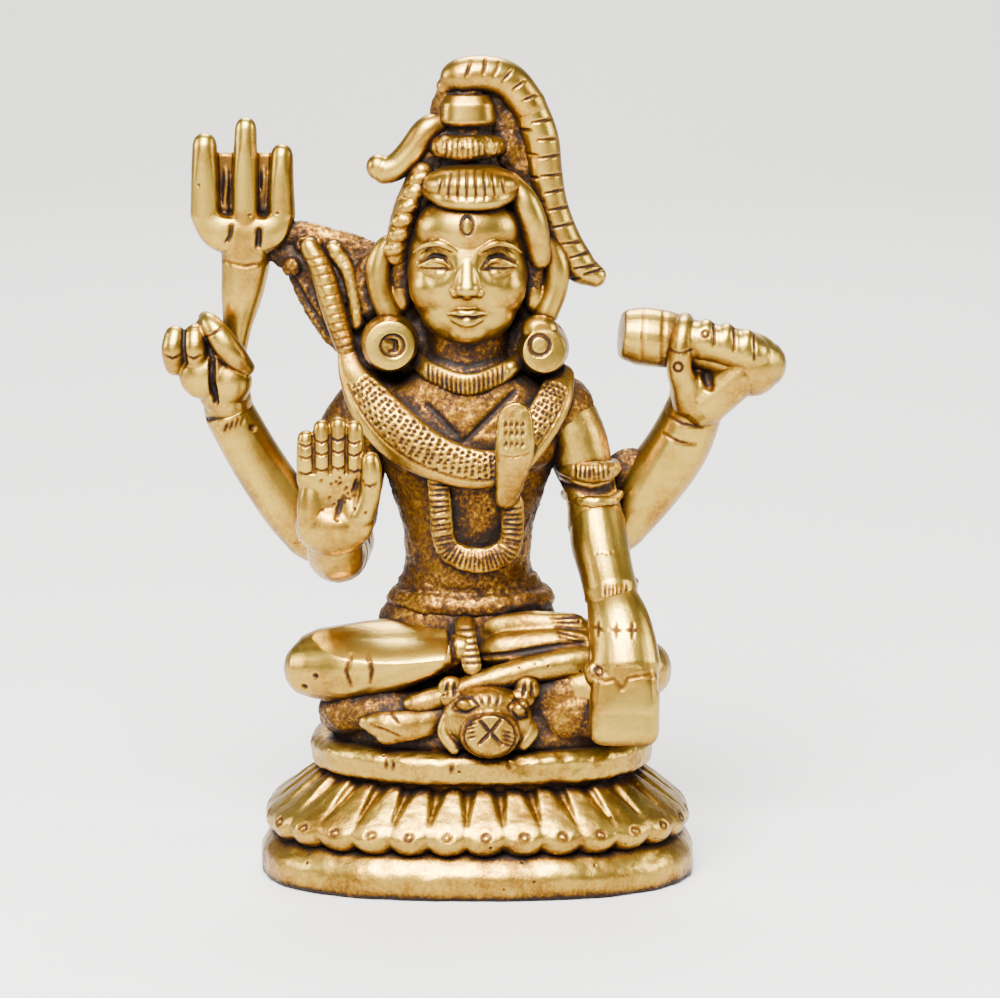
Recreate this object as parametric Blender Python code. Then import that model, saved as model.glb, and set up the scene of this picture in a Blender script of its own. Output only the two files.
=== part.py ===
"""A small cast-brass figure of a four-armed deity, seated cross-legged on a tiger skin over a lotus base.

The founder builds such a figure up from separately formed parts, so each part is a solid of its own here.
Run it with: blender --background --python part.py

+Z is up, -Y is the figure's front and +X is to the right of someone looking at the front. The origin is the
middle of the flat underside of the base. Everything is shaped in millimetres, and main() scales the finished
parts to metres. "right" and "left" in a name are the figure's own right and left hand.
"""

import math

import bmesh
import bpy
from mathutils import Matrix, Vector

MM = 0.001  # metres in a millimetre

# Driving dimensions, in millimetres.
BASE_HALF_WIDTH = 21.8
BASE_HALF_DEPTH = 15.0
PLINTH_TOP = 3.8
PETAL_TOP = 10.9
SEAT_TOP = 14.0
PETALS = 30
GAP = 0.3  # between two parts that would touch

# How round things are.
OUTLINE_SIDES = 48
PETAL_SIDES = 3 * PETALS
LIMB_SIDES = 10
BALL_RINGS = 8

# Colour, roughness: polished high spots, chased ornament, and the rough skin left dark by age.
FINISHES = {
    "polished_brass": ((0.80, 0.60, 0.25, 1.0), 0.28),
    "chased_brass": ((0.72, 0.50, 0.20, 1.0), 0.38),
    "aged_brass": ((0.52, 0.33, 0.12, 1.0), 0.50),
}


def clear_scene():
    """Empties the scene of whatever it holds."""
    for obj in list(bpy.data.objects):
        bpy.data.objects.remove(obj)


def finish_of(name):
    """The material of that name, made the first time it is asked for."""
    made = bpy.data.materials.get(name)
    if made:
        return made
    colour, roughness = FINISHES[name]
    made = bpy.data.materials.new(name)
    made.use_nodes = True
    shader = made.node_tree.nodes["Principled BSDF"]
    shader.inputs["Base Color"].default_value = colour
    shader.inputs["Metallic"].default_value = 1.0
    shader.inputs["Roughness"].default_value = roughness
    return made


def as_object(name, bm):
    """The bmesh as a new object in the scene, faces outwards."""
    bmesh.ops.recalc_face_normals(bm, faces=bm.faces)
    mesh = bpy.data.meshes.new(name)
    bm.to_mesh(mesh)
    bm.free()
    obj = bpy.data.objects.new(name, mesh)
    bpy.context.collection.objects.link(obj)
    return obj


# --- Shapes -------------------------------------------------------------------------------------


def skinned(rings):
    """A closed solid through rings of points, each ring as long as the next, with flat ends."""
    bm = bmesh.new()
    rows = [[bm.verts.new(point) for point in ring] for ring in rings]
    count = len(rows[0])
    for low, high in zip(rows, rows[1:]):
        for i in range(count):
            j = (i + 1) % count
            bm.faces.new((low[i], low[j], high[j], high[i]))
    bm.faces.new(list(reversed(rows[0])))
    bm.faces.new(rows[-1])
    return as_object("part", bm)


def outline(half_width, half_depth, z, squareness=2.0, centre=(0.0, 0.0), sides=OUTLINE_SIDES, lobe=0.0):
    """One level ring: an ellipse at squareness 2, nearer a rectangle above it, with petal lobes on its edge."""
    ring = []
    for i in range(sides):
        turn = 2 * math.pi * i / sides
        c, s = math.cos(turn), math.sin(turn)
        swell = 1 + lobe * (abs(math.sin(turn * PETALS / 2)) - 0.5)
        x = math.copysign(abs(c) ** (2 / squareness), c) * half_width * swell
        y = math.copysign(abs(s) ** (2 / squareness), s) * half_depth * swell
        ring.append((centre[0] + x, centre[1] + y, z))
    return ring


def ball(x, y, z, rx, ry=None, rz=None, tilt=0.0):
    """An ellipsoid, tilted in the plane of the figure's front by an angle in degrees."""
    ry = rx if ry is None else ry
    rz = rx if rz is None else rz
    bm = bmesh.new()
    bmesh.ops.create_uvsphere(bm, u_segments=LIMB_SIDES, v_segments=BALL_RINGS, radius=1.0)
    shape = Matrix.Diagonal((rx, ry, rz, 1.0))
    place = Matrix.Translation((x, y, z)) @ Matrix.Rotation(math.radians(tilt), 4, "Y")
    bmesh.ops.transform(bm, matrix=place @ shape, verts=bm.verts)
    return as_object("part", bm)


def limb(route, flat=1.0, facing=(0.0, -1.0, 0.0), sides=LIMB_SIDES):
    """A tapering bar along route, a list of (x, y, z, radius).

    flat is its thickness towards facing, as a share of its width. Both ends are domed.
    """
    points = [Vector(stop[:3]) for stop in route]
    radii = [stop[3] for stop in route]
    rings = []
    last = len(points) - 1
    for i, (point, radius) in enumerate(zip(points, radii)):
        along = (points[min(i + 1, last)] - points[max(i - 1, 0)]).normalized()
        side = along.cross(Vector(facing))
        if side.length < 0.2:
            side = along.cross(Vector((1.0, 0.0, 0.0)))
        side.normalize()
        thick = side.cross(along).normalized()

        def ring(share, shift):
            return [
                point
                + along * shift
                + side * (radius * share * math.cos(2 * math.pi * k / sides))
                + thick * (radius * share * flat * math.sin(2 * math.pi * k / sides))
                for k in range(sides)
            ]

        if i == 0:
            rings += [ring(0.35, -0.8 * radius), ring(0.8, -0.5 * radius)]
        rings.append(ring(1.0, 0.0))
        if i == last:
            rings += [ring(0.8, 0.5 * radius), ring(0.35, 0.8 * radius)]
    return skinned(rings)


def panel(corners, front, back):
    """A flat plate from front to back, with corners as (x, z) points round its edge."""
    return skinned([[(x, y, z) for x, z in corners] for y in (front, back)])


def collar_ring(x, y, z, half_width, half_depth, thick, tall, dip, sides=28):
    """A ring round the neck or an arm, its front lower than its back by dip."""
    bm = bmesh.new()
    section = 8
    rows = []
    for i in range(sides):
        turn = 2 * math.pi * i / sides
        out = Vector((math.cos(turn), math.sin(turn), 0.0))
        middle = Vector((half_width * out.x, half_depth * out.y, dip * out.y)) + Vector((x, y, z))
        row = []
        for k in range(section):
            angle = 2 * math.pi * k / section
            rise = Vector((0.0, 0.0, tall * math.sin(angle)))
            row.append(bm.verts.new(middle + out * thick * math.cos(angle) + rise))
        rows.append(row)
    for i, row in enumerate(rows):
        after = rows[(i + 1) % sides]
        for k in range(section):
            m = (k + 1) % section
            bm.faces.new((row[k], after[k], after[m], row[m]))
    return as_object("part", bm)


def combine(obj, others, operation):
    """Applies one Boolean of obj with all the others at once, and leaves the others as they are."""
    group = bpy.data.collections.new("operands")
    for other in others:
        group.objects.link(other)
    modifier = obj.modifiers.new("shape", "BOOLEAN")
    modifier.operation = operation
    modifier.solver = "EXACT"
    modifier.use_self = True
    modifier.operand_type = "COLLECTION"
    modifier.collection = group
    bpy.context.view_layer.objects.active = obj
    bpy.ops.object.modifier_apply(modifier=modifier.name)
    bpy.data.collections.remove(group)


def joined(*shapes):
    """All the shapes as one solid."""
    first, *others = shapes
    combine(first, others, "UNION")
    for other in others:
        bpy.data.objects.remove(other)
    return first


# --- Fitting the parts together -----------------------------------------------------------------

PARTS = []


def add(name, finish, shape):
    """Names a finished shape, gives it its material, and lists it. Earlier parts are fitted first."""
    shape.name = name
    shape.data.name = name
    shape.data.materials.clear()
    shape.data.materials.append(finish_of(finish))
    PARTS.append(shape)


def corners_of(obj):
    low = Vector([min(v.co[k] for v in obj.data.vertices) for k in range(3)])
    high = Vector([max(v.co[k] for v in obj.data.vertices) for k in range(3)])
    return low, high


def near(a, b):
    """Whether the boxes of two objects overlap."""
    (low_a, high_a), (low_b, high_b) = corners_of(a), corners_of(b)
    return all(low_a[k] < high_b[k] and low_b[k] < high_a[k] for k in range(3))


def grown(obj):
    """A copy of obj that is larger by the gap all round."""
    bm = bmesh.new()
    bm.from_mesh(obj.data)
    bm.normal_update()
    moves = [v.normal * (GAP * min(v.calc_shell_factor(), 1.5)) for v in bm.verts]
    for vertex, move in zip(bm.verts, moves):
        vertex.co += move
    return as_object("cutter", bm)


def shells_of(bm):
    """The loose parts of a bmesh, as lists of faces."""
    left = set(bm.faces)
    found = []
    while left:
        todo = [left.pop()]
        shell = list(todo)
        while todo:
            for edge in todo.pop().edges:
                for face in edge.link_faces:
                    if face in left:
                        left.discard(face)
                        todo.append(face)
                        shell.append(face)
        found.append(shell)
    return found


def drop_offcuts(obj):
    """Keeps the largest loose part of obj, because a fitted part may lose crumbs to its neighbours."""
    bm = bmesh.new()
    bm.from_mesh(obj.data)
    bmesh.ops.triangulate(bm, faces=bm.faces)

    def volume(shell):
        return sum(f.verts[0].co.dot(f.verts[1].co.cross(f.verts[2].co)) for f in shell) / 6

    shells = sorted(shells_of(bm), key=volume, reverse=True)
    crumbs = {face for shell in shells[1:] for face in shell}
    bmesh.ops.delete(bm, geom=list(crumbs), context="FACES")
    bmesh.ops.dissolve_degenerate(bm, edges=bm.edges, dist=0.01)
    bm.to_mesh(obj.data)
    bm.free()


def fit_parts():
    """Hollows each part where an earlier one sits in it, with the gap between them."""
    cutters = [grown(part) for part in PARTS]
    for i, part in enumerate(PARTS):
        neighbours = [cutter for cutter in cutters[:i] if near(part, cutter)]
        if neighbours:
            combine(part, neighbours, "DIFFERENCE")
        drop_offcuts(part)
    for cutter in cutters:
        bpy.data.objects.remove(cutter)


# --- The base -----------------------------------------------------------------------------------


def make_base():
    square = 2.6
    w, d = BASE_HALF_WIDTH, BASE_HALF_DEPTH
    levels = [
        (w - 0.4, d - 0.4, 0.0),
        (w, d, 0.4),
        (w - 0.2, d - 0.2, 2.4),
        (w - 0.7, d - 0.7, 2.8),
        (w - 2.4, d - 2.0, PLINTH_TOP),
    ]
    add("base_plinth", "polished_brass", skinned([outline(*level, square) for level in levels]))

    petals = [
        (w - 3.6, d - 2.9, PLINTH_TOP + GAP, 0.0),
        (w - 1.6, d - 1.1, PLINTH_TOP + 1.2, 0.03),
        (w - 1.0, d - 0.5, PLINTH_TOP + 2.6, 0.05),
        (w - 2.2, d - 1.6, PLINTH_TOP + 4.2, 0.03),
        (w - 5.4, d - 4.1, PETAL_TOP, 0.0),
    ]
    rings = [outline(a, b, z, square, sides=PETAL_SIDES, lobe=lobe) for a, b, z, lobe in petals]
    add("lotus_petal_ring", "chased_brass", skinned(rings))

    seat = [
        (15.9, 10.9, PETAL_TOP + GAP),
        (16.9, 11.9, PETAL_TOP + 0.9),
        (17.1, 12.1, SEAT_TOP - 0.8),
        (16.5, 11.5, SEAT_TOP),
    ]
    rings = [outline(*level, 2.4, centre=(0.4, 0.0)) for level in seat]
    add("seat_plinth", "polished_brass", skinned(rings))


def make_tiger_skin():
    skin = [
        (15.2, 10.4, SEAT_TOP + GAP),
        (15.0, 10.5, SEAT_TOP + 2.0),
        (14.6, 9.6, SEAT_TOP + 4.2),
        (12.5, 8.2, SEAT_TOP + 6.2),
        (9.0, 6.0, SEAT_TOP + 7.4),
    ]
    rings = [outline(*level, 2.3, centre=(0.6, 0.0), sides=36) for level in skin]
    add("tiger_skin", "aged_brass", skinned(rings))

    head = joined(
        ball(1.0, -11.0, 17.9, 4.4, 2.6, 3.2),
        ball(1.6, -12.6, 16.6, 3.1, 2.4, 2.4),
    )
    add("tiger_head", "chased_brass", head)
    for name, x, tilt in (("tiger_ear_right", -2.7, -25), ("tiger_ear_left", 4.8, 25)):
        add(name, "chased_brass", ball(x, -10.4, 20.2, 1.4, 1.0, 1.5, tilt))
    paw = limb([(-2.8, -10.6, 17.6, 1.5), (-6.0, -10.6, 17.3, 1.6), (-9.4, -9.8, 17.3, 1.4)])
    add("tiger_paw", "chased_brass", paw)


# --- The body -----------------------------------------------------------------------------------


def make_torso():
    levels = [
        (8.6, 5.4, 20.6, -0.4),
        (9.3, 5.9, 24.0, -0.4),
        (8.9, 5.7, 26.3, -0.5),
        (7.0, 4.9, 28.4, -0.6),
        (6.2, 4.5, 31.6, -0.8),
        (6.6, 4.8, 35.0, -0.8),
        (8.0, 5.4, 39.0, -0.9),
        (9.6, 5.8, 43.0, -0.9),
        (10.4, 5.4, 46.4, -0.9),
        (7.6, 4.6, 48.7, -0.9),
        (4.2, 3.6, 50.2, -0.9),
        (3.4, 3.2, 52.0, -0.9),
        (3.4, 3.2, 55.2, -0.9),
    ]
    rings = [outline(a, b, z, centre=(x, 0.0), sides=32) for a, b, z, x in levels]
    add("torso", "polished_brass", skinned(rings))
    add("waistband", "chased_brass", collar_ring(-0.5, 0.0, 27.3, 8.0, 5.3, 0.9, 1.0, 0.0, sides=24))


def make_legs():
    right = joined(
        limb([(-16.3, -5.0, 21.6, 3.5), (-12.0, -6.0, 21.8, 3.4), (-7.0, -7.0, 22.5, 2.9),
              (-2.0, -7.6, 23.3, 2.2)]),
        limb([(-15.2, -3.6, 22.2, 3.2), (-9.5, -2.4, 23.2, 3.4), (-4.0, -1.5, 24.0, 3.2)]),
    )
    add("right_leg", "polished_brass", right)
    left = joined(
        limb([(3.0, -3.0, 24.0, 2.8), (9.5, -4.6, 23.2, 3.0), (15.6, -4.2, 20.9, 3.2)]),
        limb([(13.6, -6.4, 20.8, 2.4), (6.0, -8.6, 20.9, 2.2), (-1.0, -9.4, 19.7, 1.8), (-4.6, -8.8, 18.8, 1.4)]),
    )
    add("left_leg", "polished_brass", left)
    strap = limb([(-0.9, -5.6, 27.4, 1.2), (-0.7, -8.4, 25.4, 1.2), (0.0, -11.0, 22.4, 1.3)], flat=0.5)
    add("sash_end", "chased_brass", strap)


def make_right_arms():
    upper = limb([(-10.2, 0.4, 46.0, 3.2), (-11.8, 0.4, 41.5, 2.9), (-12.8, -0.4, 35.6, 2.8)])
    add("front_right_upper_arm", "polished_brass", upper)
    lower = limb([(-13.1, -1.6, 33.6, 2.7), (-13.5, -5.6, 33.4, 2.6), (-13.7, -8.6, 34.6, 2.3)])
    add("front_right_forearm", "polished_brass", lower)
    fingers = [(-16.9, 45.4), (-15.1, 46.7), (-13.1, 47.0), (-11.2, 46.1)]
    palm = ball(-13.85, -10.95, 39.6, 4.0, 2.0, 5.6, -4)
    hand = [limb([(x * 0.98 - 0.25, -11.3, 41.3, 1.15), (x, -11.9, top - 0.6, 1.02)]) for x, top in fingers]
    thumb = limb([(-11.4, -11.6, 37.6, 1.4), (-10.4, -12.0, 40.6, 1.2), (-10.3, -12.1, 43.2, 0.9)])
    add("front_right_hand", "polished_brass", joined(palm, *hand, thumb))

    upper = limb([(-10.0, 3.0, 47.8, 2.8), (-12.8, 3.2, 44.2, 2.9), (-14.8, 3.4, 39.4, 2.9), (-16.4, 3.6, 35.2, 3.0)])
    add("back_right_upper_arm", "polished_brass", upper)
    lower = limb([(-18.4, 3.6, 35.6, 3.0), (-22.2, 3.4, 41.0, 2.9), (-25.2, 3.0, 46.4, 2.4)])
    add("back_right_forearm", "polished_brass", lower)
    add("trident", "polished_brass", trident_shape())
    fist = joined(
        ball(-26.6, 2.6, 50.2, 3.4, 2.8, 3.0, -12),
        limb([(-30.0, 1.0, 53.4, 1.2), (-29.0, 0.2, 50.6, 1.1)]),
        limb([(-28.0, 0.6, 54.0, 1.2), (-27.0, 0.0, 51.0, 1.2)]),
        limb([(-25.6, 0.2, 54.6, 1.2), (-23.4, -0.2, 51.2, 1.2)]),
    )
    add("back_right_hand", "polished_brass", fist)


def trident_shape():
    y = 3.0
    staff = [(-24.6, 49.6, 1.5), (-24.0, 54.6, 1.6), (-23.4, 58.4, 2.1), (-23.0, 62.4, 2.3)]
    centre = [(-23.0, 62.0, 1.7), (-22.9, 66.0, 1.4), (-22.9, 73.8, 1.1)]
    outer = [(-23.8, 62.2, 1.6), (-26.0, 63.4, 1.8), (-26.8, 66.2, 1.7), (-26.9, 69.4, 1.5), (-26.9, 72.6, 1.2)]
    inner = [(-22.6, 62.2, 1.6), (-20.2, 63.4, 1.7), (-19.4, 66.2, 1.5), (-19.3, 69.2, 1.3), (-19.2, 71.6, 1.1)]
    middle, *sides = [limb([(x, y, z, r) for x, z, r in prong]) for prong in (staff, centre, outer, inner)]
    web = panel([(-27.0, 63.0), (-19.4, 63.0), (-19.4, 71.0), (-27.0, 71.0)], 3.0, 4.2)
    return joined(middle, *sides, web)


def make_left_arms():
    upper = limb([(9.2, 0.0, 45.4, 3.3), (10.8, -0.8, 41.0, 3.1), (11.8, -1.8, 36.4, 2.9)])
    add("front_left_upper_arm", "polished_brass", upper)
    lower = limb([(12.2, -3.0, 34.6, 2.6), (12.5, -5.2, 31.9, 2.4), (12.7, -7.2, 29.8, 2.3)])
    add("front_left_forearm", "polished_brass", lower)
    hand = joined(
        limb([(12.8, -7.6, 29.4, 2.4), (13.8, -10.6, 26.0, 3.4), (14.2, -12.2, 22.8, 3.5)], flat=0.6),
        limb([(14.3, -12.4, 22.4, 3.5), (14.4, -13.4, 19.8, 3.6), (14.3, -13.9, 17.2, 3.3)], flat=0.5),
    )
    add("front_left_hand", "polished_brass", hand)
    add("armlet", "chased_brass", collar_ring(11.0, -1.0, 40.7, 3.2, 3.2, 0.7, 0.9, 0.4, sides=20))

    upper = joined(
        limb([(9.6, 2.8, 42.4, 2.8), (12.0, 3.4, 37.4, 3.0), (13.8, 3.6, 34.8, 3.1)]),
        ball(14.8, 2.4, 40.2, 2.4, 1.8, 3.4),
    )
    add("back_left_upper_arm", "polished_brass", upper)
    lower = limb([(16.2, 3.4, 36.2, 3.2), (19.6, 3.0, 41.4, 3.0), (21.5, 2.4, 46.2, 2.4)])
    add("back_left_forearm", "polished_brass", lower)
    drum = [
        (14.7, 53.9, 1.9), (15.8, 53.7, 2.6), (16.9, 53.5, 2.3), (18.0, 53.2, 2.6), (20.0, 52.8, 2.1),
        (22.6, 52.2, 1.8), (25.0, 51.7, 2.6), (27.2, 51.2, 3.2), (28.8, 50.9, 2.8),
    ]
    add("damaru_drum", "polished_brass", limb([(x, 1.0, z, r) for x, z, r in drum]))
    grip = joined(
        ball(22.4, 1.6, 48.8, 3.0, 2.6, 2.6),
        limb([(19.4, 0.2, 48.2, 1.3), (19.4, -1.8, 50.8, 1.2), (19.6, -1.6, 54.2, 1.2)]),
        limb([(24.6, 0.6, 48.8, 1.4), (24.4, -1.4, 50.4, 1.4), (22.0, -1.6, 53.4, 1.2)]),
    )
    add("back_left_hand", "polished_brass", grip)


# --- The head -----------------------------------------------------------------------------------


def make_head():
    head = joined(
        ball(-0.9, -0.4, 62.4, 6.5, 6.4, 6.9),
        ball(-0.9, -2.2, 58.4, 5.1, 4.6, 4.6),
        ball(-0.9, -6.6, 60.4, 1.0, 1.2, 1.9),
    )
    add("head", "polished_brass", head)
    cap = joined(ball(-0.9, 2.2, 62.0, 7.6, 5.4, 8.2), ball(-0.9, 3.0, 54.4, 7.6, 2.6, 4.4))
    add("hair_cap", "aged_brass", cap)
    for side, x in (("right", -8.6), ("left", 6.8)):
        add(side + "_ear", "polished_brass", ball(x, 0.6, 59.2, 1.7, 1.3, 3.4))
    for side, x in (("right", -8.5), ("left", 6.7)):
        disc = limb([(x, -2.8, 53.5, 2.7), (x, -1.2, 53.5, 2.7)], facing=(0.0, 0.0, 1.0))
        add(side + "_earring", "polished_brass", disc)
    add("neck_collar", "chased_brass", collar_ring(-0.9, -0.4, 50.9, 5.0, 4.4, 1.0, 1.0, 0.9, sides=18))


def make_hair():
    add("hair_fringe", "chased_brass", ball(-0.4, -2.8, 69.2, 5.2, 3.6, 2.2))
    add("hair_bun", "aged_brass", limb([(-1.0, 0.4, 68.6, 4.4), (-1.0, 0.2, 73.0, 3.0), (-1.0, 0.0, 77.6, 2.4)]))
    add("bun_band_lower", "chased_brass", ball(-1.2, -0.6, 72.7, 3.9, 3.4, 1.2))
    upper = limb([(-1.2, -0.3, 74.9, 2.9), (-1.2, -0.3, 77.2, 2.6)])
    add("bun_band_upper", "polished_brass", upper)
    braid = [(-3.0, -0.6, 78.9, 1.5), (-0.8, -0.8, 80.1, 1.8), (2.0, -0.5, 80.0, 1.9), (4.4, 0.0, 78.2, 1.9)]
    add("hair_braid_crown", "chased_brass", limb(braid))
    tail = [
        (5.8, 0.3, 75.6, 1.9), (6.8, 0.6, 70.8, 1.8), (7.6, 0.9, 66.4, 1.7),
        (8.9, 1.2, 62.6, 1.8), (10.6, 1.4, 60.2, 1.7),
    ]
    add("hair_braid_tail", "chased_brass", limb(tail))
    moon = [
        (-3.8, -0.8, 74.6, 1.1), (-5.6, -1.0, 73.5, 1.4), (-6.9, -1.1, 71.7, 1.4),
        (-8.2, -1.1, 70.4, 1.3), (-9.6, -1.1, 70.3, 1.1),
    ]
    add("crescent_moon", "polished_brass", limb(moon))
    lock = [(-6.4, -1.2, 69.2, 1.1), (-7.9, -1.2, 66.2, 1.3), (-8.6, -0.8, 63.2, 1.2)]
    add("right_side_lock", "chased_brass", limb(lock))
    lock = [(4.8, -1.2, 68.9, 1.0), (6.4, -1.2, 65.9, 1.3), (7.1, -0.8, 63.1, 1.2)]
    add("left_side_lock", "chased_brass", limb(lock))
    edge = [
        (0.4, 78.2), (4.2, 78.0), (6.0, 74.6), (6.6, 70.6), (7.4, 66.6), (8.4, 63.4), (5.8, 63.0),
        (4.6, 67.4), (2.6, 70.8), (1.0, 74.6),
    ]
    add("hair_backing", "aged_brass", panel(edge, 0.6, 2.6))


def make_flowing_hair():
    edge = [
        (-18.6, 67.0), (-18.3, 64.4), (-12.6, 62.9), (-9.4, 62.4), (-9.6, 55.0), (-12.4, 52.6),
        (-14.2, 54.2), (-16.6, 58.2), (-19.8, 60.9), (-20.6, 62.8),
    ]
    add("flowing_hair", "aged_brass", panel(edge, 1.8, 3.8))
    outer = [(-17.4, 1.0, 61.8, 1.1), (-15.6, 0.8, 58.8, 1.1), (-14.0, 0.5, 55.6, 1.1), (-13.0, 0.2, 53.4, 1.0)]
    add("hair_strand_outer", "chased_brass", limb(outer))
    inner = [(-14.4, 1.0, 61.8, 0.9), (-12.2, 0.9, 59.2, 1.0), (-11.2, 0.7, 56.8, 0.9)]
    add("hair_strand_inner", "chased_brass", limb(inner))


# --- The ornaments ------------------------------------------------------------------------------


def make_ornaments():
    collar = [
        (-12.2, -0.6, 51.2, 1.3), (-11.0, -3.0, 48.6, 1.9), (-8.0, -5.2, 45.6, 2.2), (-3.4, -6.2, 42.8, 1.9),
        (1.0, -6.3, 42.3, 1.5), (4.6, -5.8, 44.6, 1.3), (7.2, -4.0, 47.8, 1.5), (8.2, -1.0, 49.8, 1.2),
    ]
    add("cobra_collar", "chased_brass", limb(collar, flat=0.7))
    hood = [(3.8, -8.4, 47.0, 1.7), (3.8, -8.6, 44.4, 1.8), (3.0, -8.0, 41.4, 1.4), (2.6, -6.8, 39.4, 1.1)]
    add("cobra_hood", "polished_brass", limb(hood, flat=0.6))
    middle, half, top, bottom = 0.0, 3.6, 37.6, 34.4
    arc = [
        (middle + half * math.cos(a), -5.4, bottom + 2.2 * math.sin(a), 1.0)
        for a in (math.radians(-10 - 32 * i) for i in range(6))
    ]
    right_side = [(middle - half, -5.6, top, 1.0), (middle - half, -5.9, top + 3.0, 1.0)]
    garland = [(middle + half, -5.7, top, 1.0), *arc, *right_side]
    add("garland", "chased_brass", limb(garland))


def main():
    clear_scene()
    make_base()
    make_tiger_skin()
    make_torso()
    make_legs()
    make_right_arms()
    make_left_arms()
    make_head()
    make_hair()
    make_flowing_hair()
    make_ornaments()
    fit_parts()
    for part in PARTS:
        part.data.transform(Matrix.Scale(MM, 4))
        part.data.shade_smooth()
        part.data.set_sharp_from_angle(angle=math.radians(35))


main()
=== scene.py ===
# %% [markdown]
# # A small cast-brass deity on a lotus base
#
# The figure is about 82 mm tall. A founder models each part in wax, presses the parts together, casts the
# whole in brass, then chases the ornament with punches, darkens the metal and polishes the high spots back.
# This lesson follows that order: wax shapes, a cast skin over them, chased marks, then three brass finishes.

# %% Load the frame
import math

import bmesh
import bpy
import numpy as np
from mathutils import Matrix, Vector


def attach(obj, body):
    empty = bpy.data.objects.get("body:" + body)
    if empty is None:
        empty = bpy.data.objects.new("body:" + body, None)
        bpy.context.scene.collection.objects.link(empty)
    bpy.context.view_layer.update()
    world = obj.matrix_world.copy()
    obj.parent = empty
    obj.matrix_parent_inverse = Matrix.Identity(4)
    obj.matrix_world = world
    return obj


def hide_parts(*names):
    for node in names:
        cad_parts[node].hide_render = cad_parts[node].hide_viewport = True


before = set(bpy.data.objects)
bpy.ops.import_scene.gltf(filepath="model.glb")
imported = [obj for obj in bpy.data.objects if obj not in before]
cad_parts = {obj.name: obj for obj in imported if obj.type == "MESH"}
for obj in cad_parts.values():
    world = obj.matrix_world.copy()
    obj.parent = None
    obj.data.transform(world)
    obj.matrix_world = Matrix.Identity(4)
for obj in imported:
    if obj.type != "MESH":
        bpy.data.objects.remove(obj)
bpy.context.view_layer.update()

# %% [markdown]
# ## Wax
#
# Everything is shaped in millimetres, because the numbers are then easy to read, and each finished piece is
# scaled to metres at the end. The wax comes as balls, rolls, blocks and ovals. A roll follows a route whose
# points each have their own thickness, as a limb does, so it is a loft of rings rather than a bevelled curve:
# that lets it be flatter on one side.

# %% Balls and blocks of wax
MM = 0.001
COARSE = 1.0  # a rougher skin while trying things out


def only(*objects):
    """Selects just these objects, the first one active."""
    bpy.ops.object.select_all(action="DESELECT")
    for obj in objects:
        obj.select_set(True)
    bpy.context.view_layer.objects.active = objects[0]


def settle(obj, lean, nod, yaw):
    """Turns obj about its own middle: lean is to the right, nod is forwards, both in degrees."""
    obj.rotation_euler = (math.radians(nod), math.radians(lean), math.radians(yaw))
    only(obj)
    bpy.ops.object.transform_apply(location=True, rotation=True, scale=True)
    return obj


def ball(x, y, z, wide, deep=None, tall=None, lean=0, nod=0, yaw=0):
    """A ball of wax pressed to a half-width, half-depth and half-height."""
    bpy.ops.object.select_all(action="DESELECT")
    bpy.ops.mesh.primitive_uv_sphere_add(segments=40, ring_count=24, radius=1, location=(x, y, z))
    made = bpy.context.object
    made.scale = (wide, wide if deep is None else deep, wide if tall is None else tall)
    return settle(made, lean, nod, yaw)


def block(x, y, z, wide, deep, tall, lean=0, nod=0, yaw=0, edge=0.6):
    """A block of wax with rounded edges, given by half sizes."""
    bpy.ops.object.select_all(action="DESELECT")
    bpy.ops.mesh.primitive_cube_add(size=2, location=(x, y, z))
    made = bpy.context.object
    made.scale = (wide, deep, tall)
    only(made)
    bpy.ops.object.transform_apply(location=False, rotation=False, scale=True)
    bpy.ops.object.mode_set(mode="EDIT")
    bpy.ops.mesh.select_all(action="SELECT")
    bpy.ops.mesh.bevel(offset=edge, segments=3, affect="EDGES")
    bpy.ops.object.mode_set(mode="OBJECT")
    return settle(made, lean, nod, yaw)


# %% Rolls of wax
def loft(rings):
    """A closed skin through rings of points, each ring as long as the next, with flat ends."""
    bm = bmesh.new()
    rows = [[bm.verts.new(point) for point in ring] for ring in rings]
    count = len(rows[0])
    for low, high in zip(rows, rows[1:]):
        for i in range(count):
            j = (i + 1) % count
            bm.faces.new((low[i], low[j], high[j], high[i]))
    bm.faces.new(list(reversed(rows[0])))
    bm.faces.new(rows[-1])
    bmesh.ops.recalc_face_normals(bm, faces=bm.faces)
    mesh = bpy.data.meshes.new("wax")
    bm.to_mesh(mesh)
    bm.free()
    made = bpy.data.objects.new("wax", mesh)
    bpy.context.collection.objects.link(made)
    return made


def flowing(route, steps=6):
    """The route with a smooth curve through its stops. A stop is a tuple of numbers, blended alike."""
    stops = np.array(route, dtype=float)
    padded = np.vstack([2 * stops[0] - stops[1], stops, 2 * stops[-1] - stops[-2]])
    curve = []
    for i in range(1, len(padded) - 2):
        a, b, c, d = padded[i - 1 : i + 3]
        for t in np.arange(steps) / steps:
            curve.append(0.5 * (2 * b + (c - a) * t + (2 * a - 5 * b + 4 * c - d) * t**2
                                + (3 * b - a - 3 * c + d) * t**3))
    curve.append(stops[-1])
    return np.array(curve)


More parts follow.
